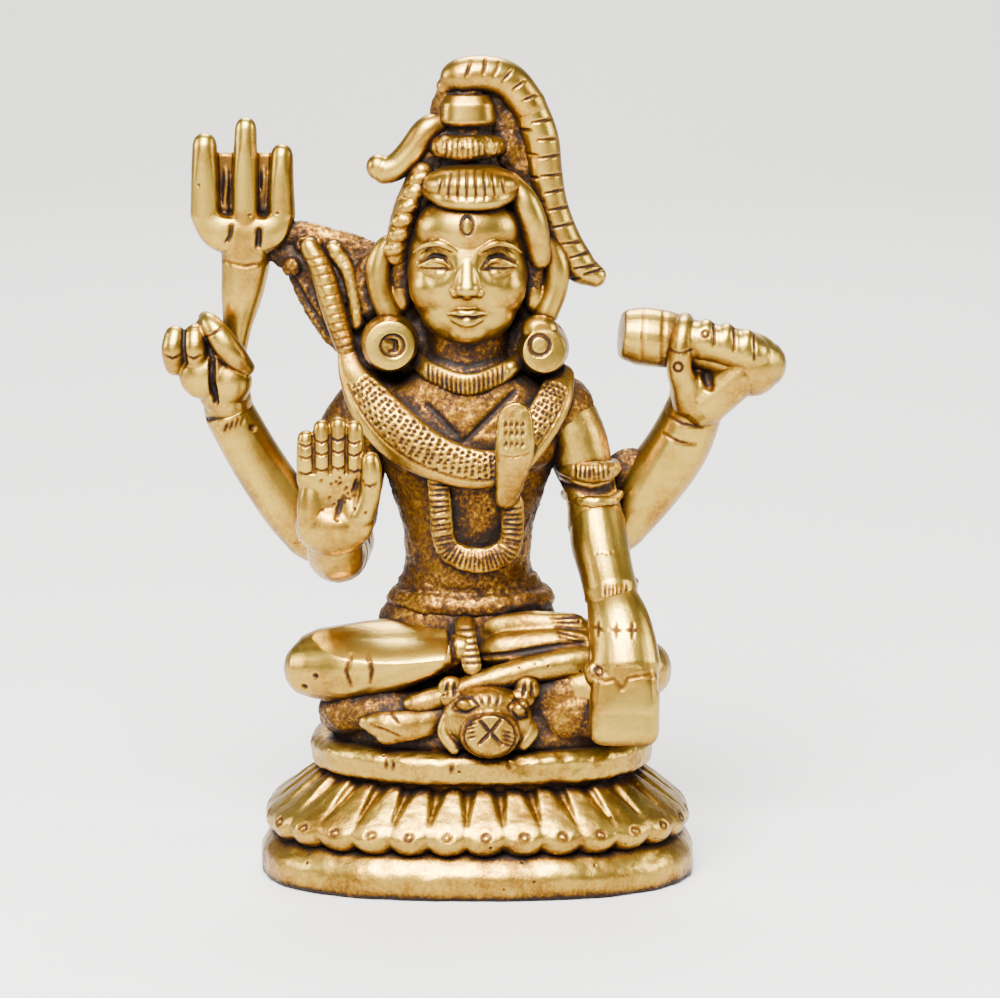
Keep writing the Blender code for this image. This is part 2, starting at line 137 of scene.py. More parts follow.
def roll(route, flat=1.0, facing=(0, -1, 0), sides=24, steps=6):
    """A roll of wax along a route of (x, y, z, radius), pressed flat towards facing, with round ends."""
    curve = flowing(route, steps)
    points = [Vector(stop[:3]) for stop in curve]
    radii = [max(stop[3], 0.1) for stop in curve]
    last = len(points) - 1
    rings = []
    for i, (point, radius) in enumerate(zip(points, radii)):
        along = (points[min(i + 1, last)] - points[max(i - 1, 0)]).normalized()
        side = along.cross(Vector(facing))
        if side.length < 0.15:
            side = along.cross(Vector((1, 0, 0)))
        side.normalize()
        thick = side.cross(along).normalized() * flat
        ends = [(1.0, 0.0)]
        if i == 0:
            ends = [(math.sin(a), -math.cos(a)) for a in (0.25, 0.6, 1.0)] + ends
        if i == last:
            ends = ends + [(math.sin(a), math.cos(a)) for a in (1.0, 0.6, 0.25)]
        for share, shift in ends:
            rings.append([
                point + along * (radius * shift)
                + (side * math.cos(turn) + thick * math.sin(turn)) * (radius * share)
                for turn in (2 * math.pi * k / sides for k in range(sides))
            ])
    return loft(rings)


def oval_ring(half_width, half_depth, z, square, middle=(0, 0), turns=None):
    """One level ring: an ellipse at square 2, and nearer a rectangle above that."""
    turns = np.arange(200) * math.pi / 100 if turns is None else turns
    c, s = np.cos(turns), np.sin(turns)
    x = np.sign(c) * np.abs(c) ** (2 / square) * half_width + middle[0]
    y = np.sign(s) * np.abs(s) ** (2 / square) * half_depth + middle[1]
    return np.stack([x, y, np.full(len(turns), z)], axis=1)


def ovals(levels, square=2.6, middle=(0, 0)):
    """A solid through level ovals, each (half_width, half_depth, z)."""
    return loft([oval_ring(*level, square, middle) for level in levels])


# %% [markdown]
# ## The cast skin
#
# The wax parts are pressed together and cast as one skin. A voxel Remesh does that: it wraps one even skin
# round overlapping shapes and fills the seams a little, as soft wax does. Smooth then rounds what is left of
# the voxel steps. The grain is the voxel size in millimetres, so a face gets a finer one than the base.

# %% Casting, filing and roughening
def apply_all(piece):
    """Applies the modifiers of a piece."""
    only(piece)
    for modifier in list(piece.modifiers):
        bpy.ops.object.modifier_apply(modifier=modifier.name)


def cast(name, shapes, grain=0.19, soften=5):
    """One skin over all the wax shapes."""
    only(*shapes)
    if len(shapes) > 1:
        bpy.ops.object.join()
    piece = bpy.context.object
    piece.name = name
    piece.data.name = name
    skin = piece.modifiers.new("skin", "REMESH")
    skin.mode = "VOXEL"
    skin.voxel_size = grain * COARSE
    smooth = piece.modifiers.new("soften", "SMOOTH")
    smooth.factor = 0.5
    smooth.iterations = soften
    apply_all(piece)
    piece.data.attributes.new("chased", "FLOAT", "POINT")
    return piece


def spots_of(piece):
    """The places and outward directions of all the points of a piece."""
    mesh = piece.data
    spots = np.empty(len(mesh.vertices) * 3)
    mesh.vertices.foreach_get("co", spots)
    ways = np.empty(len(mesh.vertices) * 3)
    mesh.vertex_normals.foreach_get("vector", ways)
    return spots.reshape(-1, 3), ways.reshape(-1, 3)


def put_spots(piece, spots):
    """Moves the points of a piece to new places."""
    piece.data.vertices.foreach_set("co", spots.ravel())
    piece.data.update()


def file_flat(piece, place, facing, reach=99.0, hard=0.85):
    """Files a piece towards a flat through place, looking the way of facing."""
    spots, _ = spots_of(piece)
    way = np.array(Vector(facing).normalized())
    proud = (spots - np.array(place)) @ way
    inside = (proud > 0) & (np.linalg.norm(spots - np.array(place), axis=1) < reach)
    spots[inside] -= np.outer(proud[inside] * hard, way)
    put_spots(piece, spots)


def press(piece, place, reach, depth):
    """A thumb pressed into the wax: a soft hollow, deepest at place."""
    spots, ways = spots_of(piece)
    near = np.clip(1 - (np.linalg.norm(spots - np.array(place), axis=1) / reach) ** 2, 0, 1) ** 2
    put_spots(piece, spots - ways * (near * depth)[:, None])


def roughen(piece, size, amount):
    """The lumpy skin that the mould leaves, with lumps of that size and height."""
    lumps = bpy.data.textures.new("as cast", "CLOUDS")
    lumps.noise_scale = size
    lumps.noise_depth = 2
    push = piece.modifiers.new("as cast", "DISPLACE")
    push.texture = lumps
    push.texture_coords = "LOCAL"
    push.strength = amount
    push.mid_level = 0.5
    apply_all(piece)


# %% [markdown]
# ## Chasing
#
# The maker cuts lines with a small chisel and sets rings and dots with punches. Each mark moves the points
# near it inwards, deepest at its middle, and is also written to the piece's "chased" attribute, because the
# dark patina stays in the marks when the brass is polished.

# %% Chisel and punches
def chase(piece, lines, width=0.4, depth=0.25, view="front", taper=0.6, dark=1.0):
    """Cuts lines into a piece, each (x, z) points seen from the front or (x, y, z) points in the round."""
    width = max(width, 0.2 * COARSE)
    spots, ways = spots_of(piece)
    seen = spots[:, [0, 2]] if view == "front" else spots
    bite = np.zeros(len(spots))
    for line in lines:
        line = np.array(line, dtype=float)
        low, high = line.min(axis=0) - width, line.max(axis=0) + width
        near = np.all((seen > low) & (seen < high), axis=1)
        if view == "front":
            near &= ways[:, 1] < -0.05
        near = np.flatnonzero(near)
        if not len(near):
            continue
        here = seen[near]
        legs = len(line) - 1
        best = np.zeros(len(near))
        for k in range(legs):
            start, run = line[k], line[k + 1] - line[k]
            along = np.clip(((here - start) @ run) / max(run @ run, 1e-9), 0, 1)
            gap = np.linalg.norm(here - start - np.outer(along, run), axis=1)
            share = (k + along) / legs
            strength = 1 - taper * (1 - np.sin(np.pi * np.clip(share, 0.02, 0.98)))
            best = np.maximum(best, np.clip(1 - gap / width, 0, 1) ** 0.8 * strength)
        bite[near] = np.maximum(bite[near], best)
    spots -= ways * (bite * depth)[:, None]
    put_spots(piece, spots)
    marks = piece.data.attributes["chased"].data
    worn = np.empty(len(spots), dtype=np.float32)
    marks.foreach_get("value", worn)
    marks.foreach_set("value", np.maximum(worn, bite * dark).astype(np.float32))


def dot(x, z):
    """A punched dot, as a very short line."""
    return [(x, z), (x + 0.01, z)]


def ring(x, z, wide, tall=None):
    """A punched ring, or an oval if tall is given."""
    tall = wide if tall is None else tall
    return [(x + wide * math.cos(a), z + tall * math.sin(a)) for a in np.linspace(0, 2 * math.pi, 15)]


# %% [markdown]
# ## Three brass finishes
#
# All the metal is one alloy, yellow brass with roughly a third of zinc. What changes is how much of the
# dark patina was polished off. Clean brass is a pale warm yellow mirror, slightly soft from hand polishing.
# The patina is a brown to black oxide that sits in hollows, marks and pits, and it is a dull skin rather
# than bare metal, so it is less metallic and rougher. Where it stays follows from how open a spot is to the
# polishing cloth, which is what Ambient Occlusion measures. Sides that face away or down are also darkened
# with painted shade.

# %% Materials
def paint(code):
    """An sRGB hex colour as the linear colour that Blender wants."""
    parts = [int(code[i : i + 2], 16) / 255 for i in (1, 3, 5)]
    return (*[p / 12.92 if p <= 0.04045 else ((p + 0.055) / 1.055) ** 2.4 for p in parts], 1.0)


def per_mm(size):
    """The scale of a pattern whose features are size millimetres across."""
    return 1 / (size * MM)


def node(tree, kind, settings=None, **links):
    """Adds a node. settings are its properties, links are socket names with a value or a socket to join."""
    made = tree.nodes.new(kind)
    for name, value in (settings or {}).items():
        setattr(made, name, value)
    for name, value in links.items():
        socket = made.inputs[int(name[1:])] if name[0] == "_" else made.inputs[name.replace("_", " ")]
        if isinstance(value, bpy.types.NodeSocket):
            tree.links.new(value, socket)
        else:
            socket.default_value = value
    return made


def cast_brass(name, hold, reach, speckle, gloss, grain, pits, shade_and_film):
    """Brass with patina.

    hold is how much patina stays on open metal, reach is how far hollows count in mm, and speckle is how
    unevenly it was rubbed off. gloss is the roughness of clean metal, grain the height of the cast texture,
    pits the share of spots with a casting pit, and shade_and_film how far sides that face away or down are
    darkened: painted shade, with a real brown film that also lies in wide clouds.
    """
    material = bpy.data.materials.new(name)
    material.use_nodes = True
    tree = material.node_tree
    tree.nodes.clear()

    def sums(operation, *values, clamp=False):
        settings = {"operation": operation, "use_clamp": clamp}
        return node(tree, "ShaderNodeMath", settings, **{f"_{i}": value for i,
            value in enumerate(values)}).outputs[0]

    where = node(tree, "ShaderNodeTexCoord")
    place = where.outputs["Object"]
    # Patina clouds are a few millimetres across, specks a third of one, pits stand about 1.5 mm apart.
    cloud = node(tree, "ShaderNodeTexNoise", Vector=place, Scale=per_mm(2.4), Detail=5.0,
        Roughness=0.6).outputs["Fac"]
    speck = node(tree, "ShaderNodeTexNoise", Vector=place, Scale=per_mm(0.36), Detail=3.0,
        Roughness=0.6).outputs["Fac"]
    cell = node(tree, "ShaderNodeTexVoronoi", Vector=place, Scale=per_mm(1.5))
    hole = node(tree, "ShaderNodeMapRange", Value=cell.outputs["Distance"], From_Min=0.06, From_Max=0.15,
        To_Min=1.0, To_Max=0.0).outputs[0]
    chance = node(tree, "ShaderNodeSeparateColor", Color=cell.outputs["Color"]).outputs["Red"]
    pit = sums("MULTIPLY", hole, sums("GREATER_THAN", chance, 1 - pits))

    # Hollows and chased marks keep their patina, high spots lose it first. The occlusion also counts the
    # floor, so the foot of the plinth is darkened too: painted shade there.
    air = node(tree, "ShaderNodeAmbientOcclusion", {"samples": 12}, Distance=reach * MM).outputs["AO"]
    hollow = sums("POWER", sums("SUBTRACT", 1.0, air), 1.5)
    marks = node(tree, "ShaderNodeAttribute", {"attribute_name": "chased"}).outputs["Fac"]
    high = node(tree, "ShaderNodeNewGeometry").outputs["Pointiness"]
    kept_patina_and_shade = sums("MULTIPLY_ADD", marks, 0.75, sums("MULTIPLY_ADD", hollow, 2.1, hold))

    # Sides that face away from the front or downwards are darkened with a brown film: painted shade on
    # undersides and on the sides of rounded forms, together with the unpolished back. A real brown film also
    # lies in wide clouds.
    way = node(tree, "ShaderNodeSeparateXYZ", Vector=where.outputs["Normal"])
    away = sums("MULTIPLY_ADD", way.outputs["Z"], -0.7, way.outputs["Y"])
    shade_and_unpolished = node(tree, "ShaderNodeMapRange", Value=away, From_Min=-0.75, From_Max=0.35, To_Min=0.0,
        To_Max=1.0).outputs[0]
    tide = node(tree, "ShaderNodeTexNoise", Vector=place, Scale=per_mm(5.0), Detail=4.0,
        Roughness=0.6).outputs["Fac"]
    clouds = node(tree, "ShaderNodeMapRange", Value=tide, From_Min=0.46, From_Max=0.68, To_Min=0.0,
        To_Max=1.0).outputs[0]
    kept_patina_and_shade = sums("MULTIPLY_ADD", sums("MULTIPLY_ADD", shade_and_unpolished, 1.0, clouds), shade_and_film, kept_patina_and_shade, clamp=True)
    patchy = sums("MULTIPLY", kept_patina_and_shade, sums("MULTIPLY_ADD", cloud, 1.5, 0.25))
    flecks = sums("MULTIPLY", sums("MULTIPLY_ADD", speck, 2.0, -1.0),
        sums("MULTIPLY_ADD", patchy, 1.6 * speckle, 0.25 * speckle))
    # worn mixes wear on the high spots, patina and the painted shade on sides facing away or down.
    worn = sums("MULTIPLY_ADD", sums("SUBTRACT", 0.5, high), 3.0 * speckle, sums("ADD", patchy, flecks))
    patina_and_shade = sums("MULTIPLY_ADD", pit, 0.6, worn, clamp=True)

    # This ramp colours the metal from patina, pits, wear and the painted shade on sides facing away or down.
    tone = node(tree, "ShaderNodeValToRGB", Fac=patina_and_shade)
    stops = [(0.0, "#AC8E38"), (0.2, "#8D6822"), (0.4, "#634212"), (0.6, "#40260A"), (0.8, "#261305"),
        (1.0, "#110702")]
    ramp = tone.color_ramp
    while len(ramp.elements) < len(stops):
        ramp.elements.new(0.5)
    for element, (spot, code) in zip(ramp.elements, stops):
        element.position = spot
        element.color = paint(code)
    metal = node(tree, "ShaderNodeMapRange", Value=patina_and_shade, From_Min=0.4, From_Max=1.0, To_Min=1.0,
        To_Max=0.7).outputs[0]
    haze = sums("MULTIPLY_ADD", speck, 0.14, gloss - 0.07)
    dull = node(tree, "ShaderNodeMapRange", Value=patina_and_shade, From_Min=0.15, From_Max=0.8, To_Min=0.0,
        To_Max=0.3).outputs[0]

    # Hand work leaves soft dents about two millimetres across, and the mould a finer grain.
    dents = node(tree, "ShaderNodeTexNoise", Vector=place, Scale=per_mm(2.2), Detail=1.0,
        Roughness=0.4).outputs["Fac"]
    skin = node(tree, "ShaderNodeTexNoise", Vector=place, Scale=per_mm(0.25), Detail=3.0,
        Roughness=0.6).outputs["Fac"]
    dented = node(tree, "ShaderNodeBump", Height=dents, Strength=0.3, Distance=0.12 * MM).outputs[0]
    grained = node(tree, "ShaderNodeBump", Height=sums("MULTIPLY_ADD", pit, -2.0, skin), Strength=grain,
        Distance=0.06 * MM, Normal=dented).outputs[0]
    shader = node(tree, "ShaderNodeBsdfPrincipled", Base_Color=tone.outputs["Color"], Metallic=metal,
                  Roughness=sums("ADD", haze, dull), Normal=grained)
    node(tree, "ShaderNodeOutputMaterial", Surface=shader.outputs[0])
    return material


# The last number of each finish sets the painted shade on sides facing away or down, with its film in clouds.
FINISH = {
    "polished_brass": cast_brass("polished_yellow_brass", hold=0.03, reach=1.3, speckle=0.32, gloss=0.31,
        grain=0.34, pits=0.0, shade_and_film=0.2),
    "chased_brass": cast_brass("chased_yellow_brass", hold=0.08, reach=1.4, speckle=0.5, gloss=0.33,
        grain=0.45, pits=0.3, shade_and_film=0.2),
    "aged_brass": cast_brass("aged_yellow_brass", hold=0.43, reach=2.0, speckle=0.62, gloss=0.35, grain=0.65,
        pits=0.45, shade_and_film=0.16),
}


def done(piece, finish, *nodes):
    """Hands a finished piece over: metres, smooth shading, its brass, and the nodes it stands for."""
    only(piece)
    piece.scale = (MM, MM, MM)
    bpy.ops.object.transform_apply(location=True, rotation=True, scale=True)
    bpy.ops.object.shade_smooth()
    piece.data.materials.clear()
    piece.data.materials.append(FINISH[finish])
    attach(piece, "root")
    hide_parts(*nodes)
    print(f"{piece.name}: {sum(len(p.vertices) - 2 for p in piece.data.polygons)} triangles")


# %% [markdown]
# ## The base
#
# A plain oval plinth with a sloping top, a skirt of lotus petals that turn down over it, and a seat slab.

# %% Plinth and seat slab
W, D = 21.8, 15.0  # half the width and depth of the plinth

plinth = cast("base_plinth_cast", [ovals([
    (W - 0.35, D - 0.35, 0.0), (W, D, 0.35), (W, D, 2.1), (W - 0.2, D - 0.2, 2.7), (W - 0.6, D - 0.6, 3.3),
    (W - 1.1, D - 1.1, 3.9), (W - 1.9, D - 1.8, 4.4), (W - 3.2, D - 2.8, 4.7), (W - 6.0, D - 5.0, 4.7),
])], grain=0.28, soften=3)
roughen(plinth, 3.0, 0.4)
roughen(plinth, 0.7, 0.06)
file_flat(plinth, (0, 0, 0.02), (0, 0, -1), hard=1.0)
done(plinth, "chased_brass", "base_plinth")

seat = cast("seat_plinth_cast", [ovals([
    (15.2, 10.3, 9.8), (15.8, 10.8, 10.8), (16.9, 12.0, 11.2), (17.1, 12.2, 11.6), (17.2, 12.3, 13.2),
    (16.9, 12.0, 13.7), (16.2, 11.3, 14.1), (12.0, 8.0, 14.2),
], 2.4, (0.4, 0))], grain=0.24, soften=2)
roughen(seat, 2.4, 0.5)
roughen(seat, 0.6, 0.06)
chase(seat, [[(-9.0, 13.4), (-8.9, 12.6)], [(-8.2, 13.3), (-8.3, 12.5)], [(-2.4, 13.3), (-2.5, 12.4)],
    [(3.0, 13.5), (3.2, 12.9)]], 0.25, 0.14)
done(seat, "chased_brass", "seat_plinth")


# %% Lotus petals
def even_turns(half_width, half_depth, square, count):
    """Turns round an oval that are evenly spaced along its edge."""
    turns = np.linspace(0, 2 * math.pi, 4001)
    rim = np.array(oval_ring(half_width, half_depth, 0, square, turns=turns))
    travelled = np.concatenate([[0], np.cumsum(np.linalg.norm(np.diff(rim, axis=0), axis=1))])
    return np.interp(np.arange(count) / count * travelled[-1], travelled, turns)


PETALS, FINE = 31, 22
turns = even_turns(W - 1.0, D - 0.8, 2.6, PETALS * FINE)
# -1 and 1 in the grooves, 0 on the petal's ridge
across = (np.arange(PETALS * FINE) % FINE + 0.5) / FINE * 2 - 1
slope = [(5.0, 4.4, 4.4), (2.8, 2.4, 4.2), (1.5, 1.3, 4.3), (0.75, 0.65, 4.8), (0.4, 0.35, 5.5),
    (0.5, 0.4, 6.2),
         (1.1, 0.9, 7.0), (2.2, 1.7, 7.9), (3.4, 2.6, 8.8), (4.7, 3.6, 9.8), (6.0, 4.5, 10.7),
         (6.8, 5.2, 11.0)]
rings = []
for inset_wide, inset_deep, z in flowing(slope, 5):
    rise = np.clip((z - 4.2) / 6.6, 0, 1)
    rim = np.array(oval_ring(W - inset_wide, D - inset_deep, z, 2.6, turns=turns))
    out = np.array(oval_ring(1 / (W - 1), 1 / (D - 1), 0, 2 / 1.6, turns=turns))[:, :2]
    out /= np.linalg.norm(out, axis=1)[:, None]
    gap = 0.05 + 0.58 * np.clip((rise - 0.45) / 0.5, 0, 1)
    groove = np.clip((np.abs(across) - (1 - gap)) / (0.1 + gap * 0.35), 0, 1)
    toe = np.clip(1 - rise / 0.42, 0, 1)
    back = groove * (0.25 + 0.6 * rise) + (1 - np.sqrt(1 - across**2 * 0.96)) * toe * 0.9 + across**2 * 0.12
    rim[:, :2] -= out * back[:, None]
    rim[:, 2] += (1 - np.sqrt(1 - across**2 * 0.96)) * toe * 0.6
    rings.append(rim)
petals = cast("lotus_petals_cast", [loft(rings)], grain=0.19, soften=2)
roughen(petals, 1.8, 0.22)
RING_ROW, ROW_ABOVE = 26, 29  # rows of the skirt, counted from its foot, that carry the punched rings
marks = []
for k in range(PETALS):
    middle = k * FINE + FINE // 2
    centre, beside = Vector(rings[RING_ROW][middle]), Vector(rings[RING_ROW][middle + 3])
    above = Vector(rings[ROW_ABOVE][middle])
    wide, tall = (beside - centre).normalized() * 0.42, (above - centre).normalized() * 0.42
    marks.append([tuple(centre + wide * math.cos(a) + tall * math.sin(a)) for a in np.linspace(0, 2 * math.pi,
        11)])
chase(petals, marks, 0.26, 0.14, view="round", taper=0, dark=0.7)
done(petals, "chased_brass", "lotus_petal_ring")

# %% [markdown]
# ## Tiger skin
#
# The skin is a rough mound under the legs. Its head lies at the front with a blunt muzzle, and one paw is
# stretched out beside it.

# %% Tiger skin and paw
skin = cast("tiger_skin_cast", [
    ovals([(15.0, 10.2, 13.6), (15.3, 10.6, 14.6), (14.8, 10.0, 16.6), (13.6, 8.8, 18.6), (11.5, 7.2, 20.4),
        (8, 5, 21.4)],
          2.3, (0.6, 0)),
    ball(9.4, -5.8, 17.3, 6.4, 4.2, 3.9, lean=-12), ball(-8.4, -6.0, 17.6, 6.2, 3.8, 2.6),
    ball(0.6, -8.8, 17.4, 4.6, 2.6, 3.6),
    ball(7.4, -7.0, 19.2, 5.4, 2.6, 2.8, lean=-10),
    ball(-12.6, -4.6, 17.0, 3.2, 3.6, 2.4), ball(13.6, -4.4, 16.8, 3.0, 3.4, 2.8),
], grain=0.21, soften=4)
roughen(skin, 2.4, 0.6)
roughen(skin, 0.45, 0.16)
done(skin, "aged_brass", "tiger_skin")

paw = cast("tiger_paw_cast", [
    roll([(-3.0, -9.6, 17.6, 1.2), (-5.4, -10.3, 16.9, 1.4), (-7.8, -10.6, 16.7, 1.6),
        (-9.8, -10.2, 16.8, 1.3), (-11.0, -9.6, 16.9, 0.7)], flat=0.7),
    ball(-8.6, -10.2, 15.6, 1.4, 1.2, 0.8),
], grain=0.13, soften=6)
roughen(paw, 2.0, 0.2)
chase(paw, [[(-10.4, 17.0), (-9.0, 16.6), (-7.4, 15.9)], [(-8.4, 18.1), (-7.6, 17.2)]], 0.2, 0.13)
done(paw, "chased_brass", "tiger_paw")

# %% Tiger head
tiger = cast("tiger_head_cast", [
    ball(1.0, -10.6, 17.6, 4.5, 2.7, 3.3), ball(1.0, -11.2, 19.2, 3.2, 2.0, 1.6),
    ball(1.3, -12.6, 16.5, 3.0, 2.5, 2.5),
    ball(-1.1, -12.3, 19.3, 1.25, 0.9, 0.7, lean=28), ball(4.1, -12.1, 18.8, 1.2, 0.9, 0.75, lean=-40),
    roll([(-3.0, -11.2, 17.8, 0.5), (-3.2, -11.4, 16.2, 0.7), (-2.2, -11.9, 14.8, 0.6)]),
    roll([(4.6, -10.9, 17.6, 0.6), (5.3, -10.9, 16.4, 0.85), (4.6, -11.4, 15.2, 0.7)]),
], grain=0.12, soften=4)
file_flat(tiger, (1.2, -14.3, 16.6), (0.05, -1, 0.1), reach=3.2, hard=0.9)
chase(tiger, [ring(1.3, 16.5, 2.65, 2.3)], 0.22, 0.16, taper=0, dark=0.8)
chase(tiger, [[(0.3, 18.2), (1.4, 16.9), (2.4, 15.8)], [(2.3, 18.1), (1.3, 16.9), (0.3, 15.9)]], 0.26, 0.3,
    taper=0.4)
chase(tiger, [[(-0.9, 16.4 + k * 0.42), (-0.1, 16.6 + k * 0.42)] for k in range(4)]
      + [[(2.6, 17.1 - k * 0.4), (3.5, 16.8 - k * 0.42)] for k in range(4)], 0.17, 0.13)
chase(tiger, [[(-2.4, 18.9), (-1.7, 20.0), (-0.5, 20.1), (0.2, 19.3), (-0.9, 18.6), (-2.2, 18.7)]], 0.2, 0.14,
    taper=0.3, dark=0.8)
chase(tiger, [[(3.1, 19.2), (3.9, 19.8), (4.9, 19.0), (5.0, 18.0), (4.1, 17.9), (3.1, 19.0)]], 0.2, 0.14,
    taper=0.3, dark=0.8)
chase(tiger, [[(0.4, 20.2), (0.6, 19.4)], [(1.3, 20.3), (1.3, 19.4)], [(2.2, 20.2), (2.0, 19.4)]], 0.2, 0.15)
done(tiger, "chased_brass", "tiger_head")

for side, x, lean in (("right", -2.6, -30), ("left", 5.0, 30)):
    ear = cast(f"tiger_ear_{side}_cast", [ball(x, -10.2, 20.5, 1.3, 0.8, 1.2, lean=lean),
        ball(x * 0.85, -10.6, 19.5, 1.5, 0.9, 1.0)],
               grain=0.12, soften=3)
    chase(ear, [[(x - 0.4, 20.0), (x - 0.3, 21.2)], [(x + 0.4, 20.0), (x + 0.5, 21.1)]], 0.24, 0.2)
    done(ear, "chased_brass", f"tiger_ear_{side}")

# %% [markdown]
# ## The body
#
# The trunk is narrow at the waist and broad across the chest. Legs are folded flat, with a big smooth knee on
# the figure's right. The knees and shins were filed, which leaves soft flats.

# %% Trunk
torso = cast("torso_cast", [
    ovals([(8.8, 5.6, 20.6), (9.3, 5.9, 24.0), (8.8, 5.6, 26.3), (7.0, 4.9, 28.6), (6.2, 4.5, 31.4),
        (6.5, 4.8, 35.0),
           (7.8, 5.3, 39.0), (9.3, 5.7, 43.0), (9.9, 5.4, 46.4), (8.2, 4.8, 48.9), (5.4, 4.2, 50.6),
           (4.0, 3.6, 52.4), (4.2, 3.6, 56.0)],
          2.1, (-0.9, 0)),
    ball(-5.2, -2.6, 43.8, 4.6, 3.2, 3.4), ball(3.4, -2.6, 43.8, 4.6, 3.2, 3.4),
    ball(-0.9, -2.4, 30.8, 4.6, 2.9, 3.6),
    ball(-9.8, 0.4, 46.8, 3.6, 3.6, 3.8), ball(8.2, 0.2, 46.4, 3.6, 3.6, 3.8),
], grain=0.26, soften=6)
roughen(torso, 2.2, 0.4)
roughen(torso, 0.5, 0.22)
chase(torso, [[(-4.9, 47.8), (-3.4, 46.4), (-2.1, 45.0)], [(3.7, 49.0), (1.2, 46.6), (-1.2, 44.3)]], 0.36,
    0.4, taper=0.2)
chase(torso, [[(-4.2, 52.2), (-0.9, 51.5), (2.6, 52.3)]], 0.3, 0.2)
done(torso, "aged_brass", "torso")

# %% Waistband and sash
waist = cast("waistband_cast", [
    ovals([(7.4, 4.9, 26.2), (8.3, 5.7, 26.9), (8.5, 5.9, 27.7), (8.0, 5.4, 28.5), (7.2, 4.8, 29.0)], 2.1,
        (-0.6, 0)),
    ovals([(7.0, 4.7, 28.6), (7.2, 4.9, 29.4), (6.7, 4.5, 30.2)], 2.1, (-0.7, 0)),
], grain=0.19, soften=4)
roughen(waist, 2.0, 0.5)
roughen(waist, 0.6, 0.2)
done(waist, "aged_brass", "waistband")

sash = cast("sash_end_cast", [
    roll([(-1.2, -5.8, 26.4, 1.0), (-1.15, -7.4, 25.7, 1.0), (-0.85, -8.9, 24.3, 1.0),
        (-0.45, -9.7, 22.6, 1.0)], flat=0.4),
], grain=0.13, soften=3)
chase(sash, [[(-1.9 + k * 0.12, 25.9 - k * 0.6), (0.0 + k * 0.12, 26.0 - k * 0.6)] for k in range(6)], 0.2,
    0.1, taper=0.2)
done(sash, "chased_brass", "sash_end")

# %% Legs
right_leg = cast("right_leg_cast", [
    roll([(-16.2, -4.4, 21.3, 3.1), (-12.6, -5.6, 21.6, 3.5), (-8.4, -6.8, 22.4, 2.9),
        (-4.4, -7.6, 23.4, 2.1), (-1.6, -8.0, 24.0, 1.5)]),
    roll([(-15.4, -3.4, 21.9, 3.2), (-10.0, -2.6, 22.6, 3.2), (-4.0, -2.0, 23.8, 2.6)]),
    roll([(-14.2, -5.4, 19.9, 2.1), (-9.0, -7.6, 21.0, 1.7), (-4.0, -8.4, 22.6, 1.2)]),
    roll([(-15.6, -4.2, 22.2, 2.9), (-9.4, -4.6, 23.2, 2.9), (-3.2, -5.0, 24.2, 2.3)]),
], grain=0.18, soften=9)
file_flat(right_leg, (-13.0, -8.9, 21.2), (-0.2, -0.95, -0.3), reach=8)
file_flat(right_leg, (-11.0, -5.6, 24.75), (-0.04, -0.5, 1), reach=9, hard=0.7)
chase(right_leg, [[(-12.4, 23.4), (-12.9, 22.0), (-12.4, 20.4)],
    [(-10.8, 23.6), (-10.3, 22.2), (-10.5, 20.8)]], 0.26, 0.2)
chase(right_leg, [dot(-17.1, 19.9), dot(-16.0, 21.2)], 0.36, 0.34, taper=0)
chase(right_leg, [[(-2.8, 26.4), (-2.4, 24.6), (-2.1, 22.9)]], 0.4, 0.45, taper=0.2)
done(right_leg, "polished_brass", "right_leg")

left_leg = cast("left_leg_cast", [
    roll([(1.2, -3.6, 24.3, 2.3), (7.0, -4.8, 24.5, 2.4), (12.6, -4.8, 23.0, 2.9), (16.4, -3.8, 20.9, 3.0)]),
    roll([(14.6, -5.8, 21.6, 2.2), (10.6, -7.6, 22.7, 1.6), (6.0, -8.8, 22.2, 1.4), (1.0, -9.6, 21.0, 1.3),
        (-3.0, -9.7, 19.6, 1.2), (-6.2, -9.4, 18.5, 1.2)]),
    roll([(1.6, -5.0, 25.4, 1.4), (5.6, -5.8, 25.8, 1.6), (9.6, -5.8, 25.6, 1.5)], flat=0.8),
    ball(6.2, -6.7, 23.8, 6.4, 1.9, 2.1, lean=-4),
    ball(11.6, -7.2, 19.8, 4.4, 2.4, 2.6), ball(16.2, -4.6, 21.2, 3.2, 3.6, 3.1),
], grain=0.18, soften=5)
roughen(left_leg, 2.0, 0.2)
chase(left_leg, [[(7.4 + k * 0.2, 26.8 - k * 0.38), (10.6, 26.9 - k * 0.62)] for k in range(5)], 0.15, 0.13,
    taper=0.5)
chase(left_leg, [[(-0.8, 22.9), (3.6, 23.6), (8.0, 24.4), (10.6, 24.6)]], 0.4, 0.3, taper=0.2)
done(left_leg, "chased_brass", "left_leg")

# %% [markdown]
# ## Arms and hands
#
# Two arms are in front, one palm raised and one hand hanging to the knee. The two behind hold a trident and a
# small drum.

# %% Front right arm and raised palm
upper = cast("front_right_upper_arm_cast", [roll([(-10.2, 0.6, 46.2, 3.2), (-11.8, 0.6, 41.5, 2.9),
    (-12.9, -0.2, 35.8, 2.9)])], soften=6)
roughen(upper, 1.8, 0.25)
done(upper, "aged_brass", "front_right_upper_arm")

lower = cast("front_right_forearm_cast", [
    roll([(-13.2, -0.6, 33.7, 3.0), (-13.6, -4.2, 33.1, 3.0), (-13.8, -7.6, 33.6, 2.9),
        (-13.9, -9.4, 35.4, 2.7)]),
], soften=6)
roughen(lower, 1.6, 0.2)
done(lower, "polished_brass", "front_right_forearm")

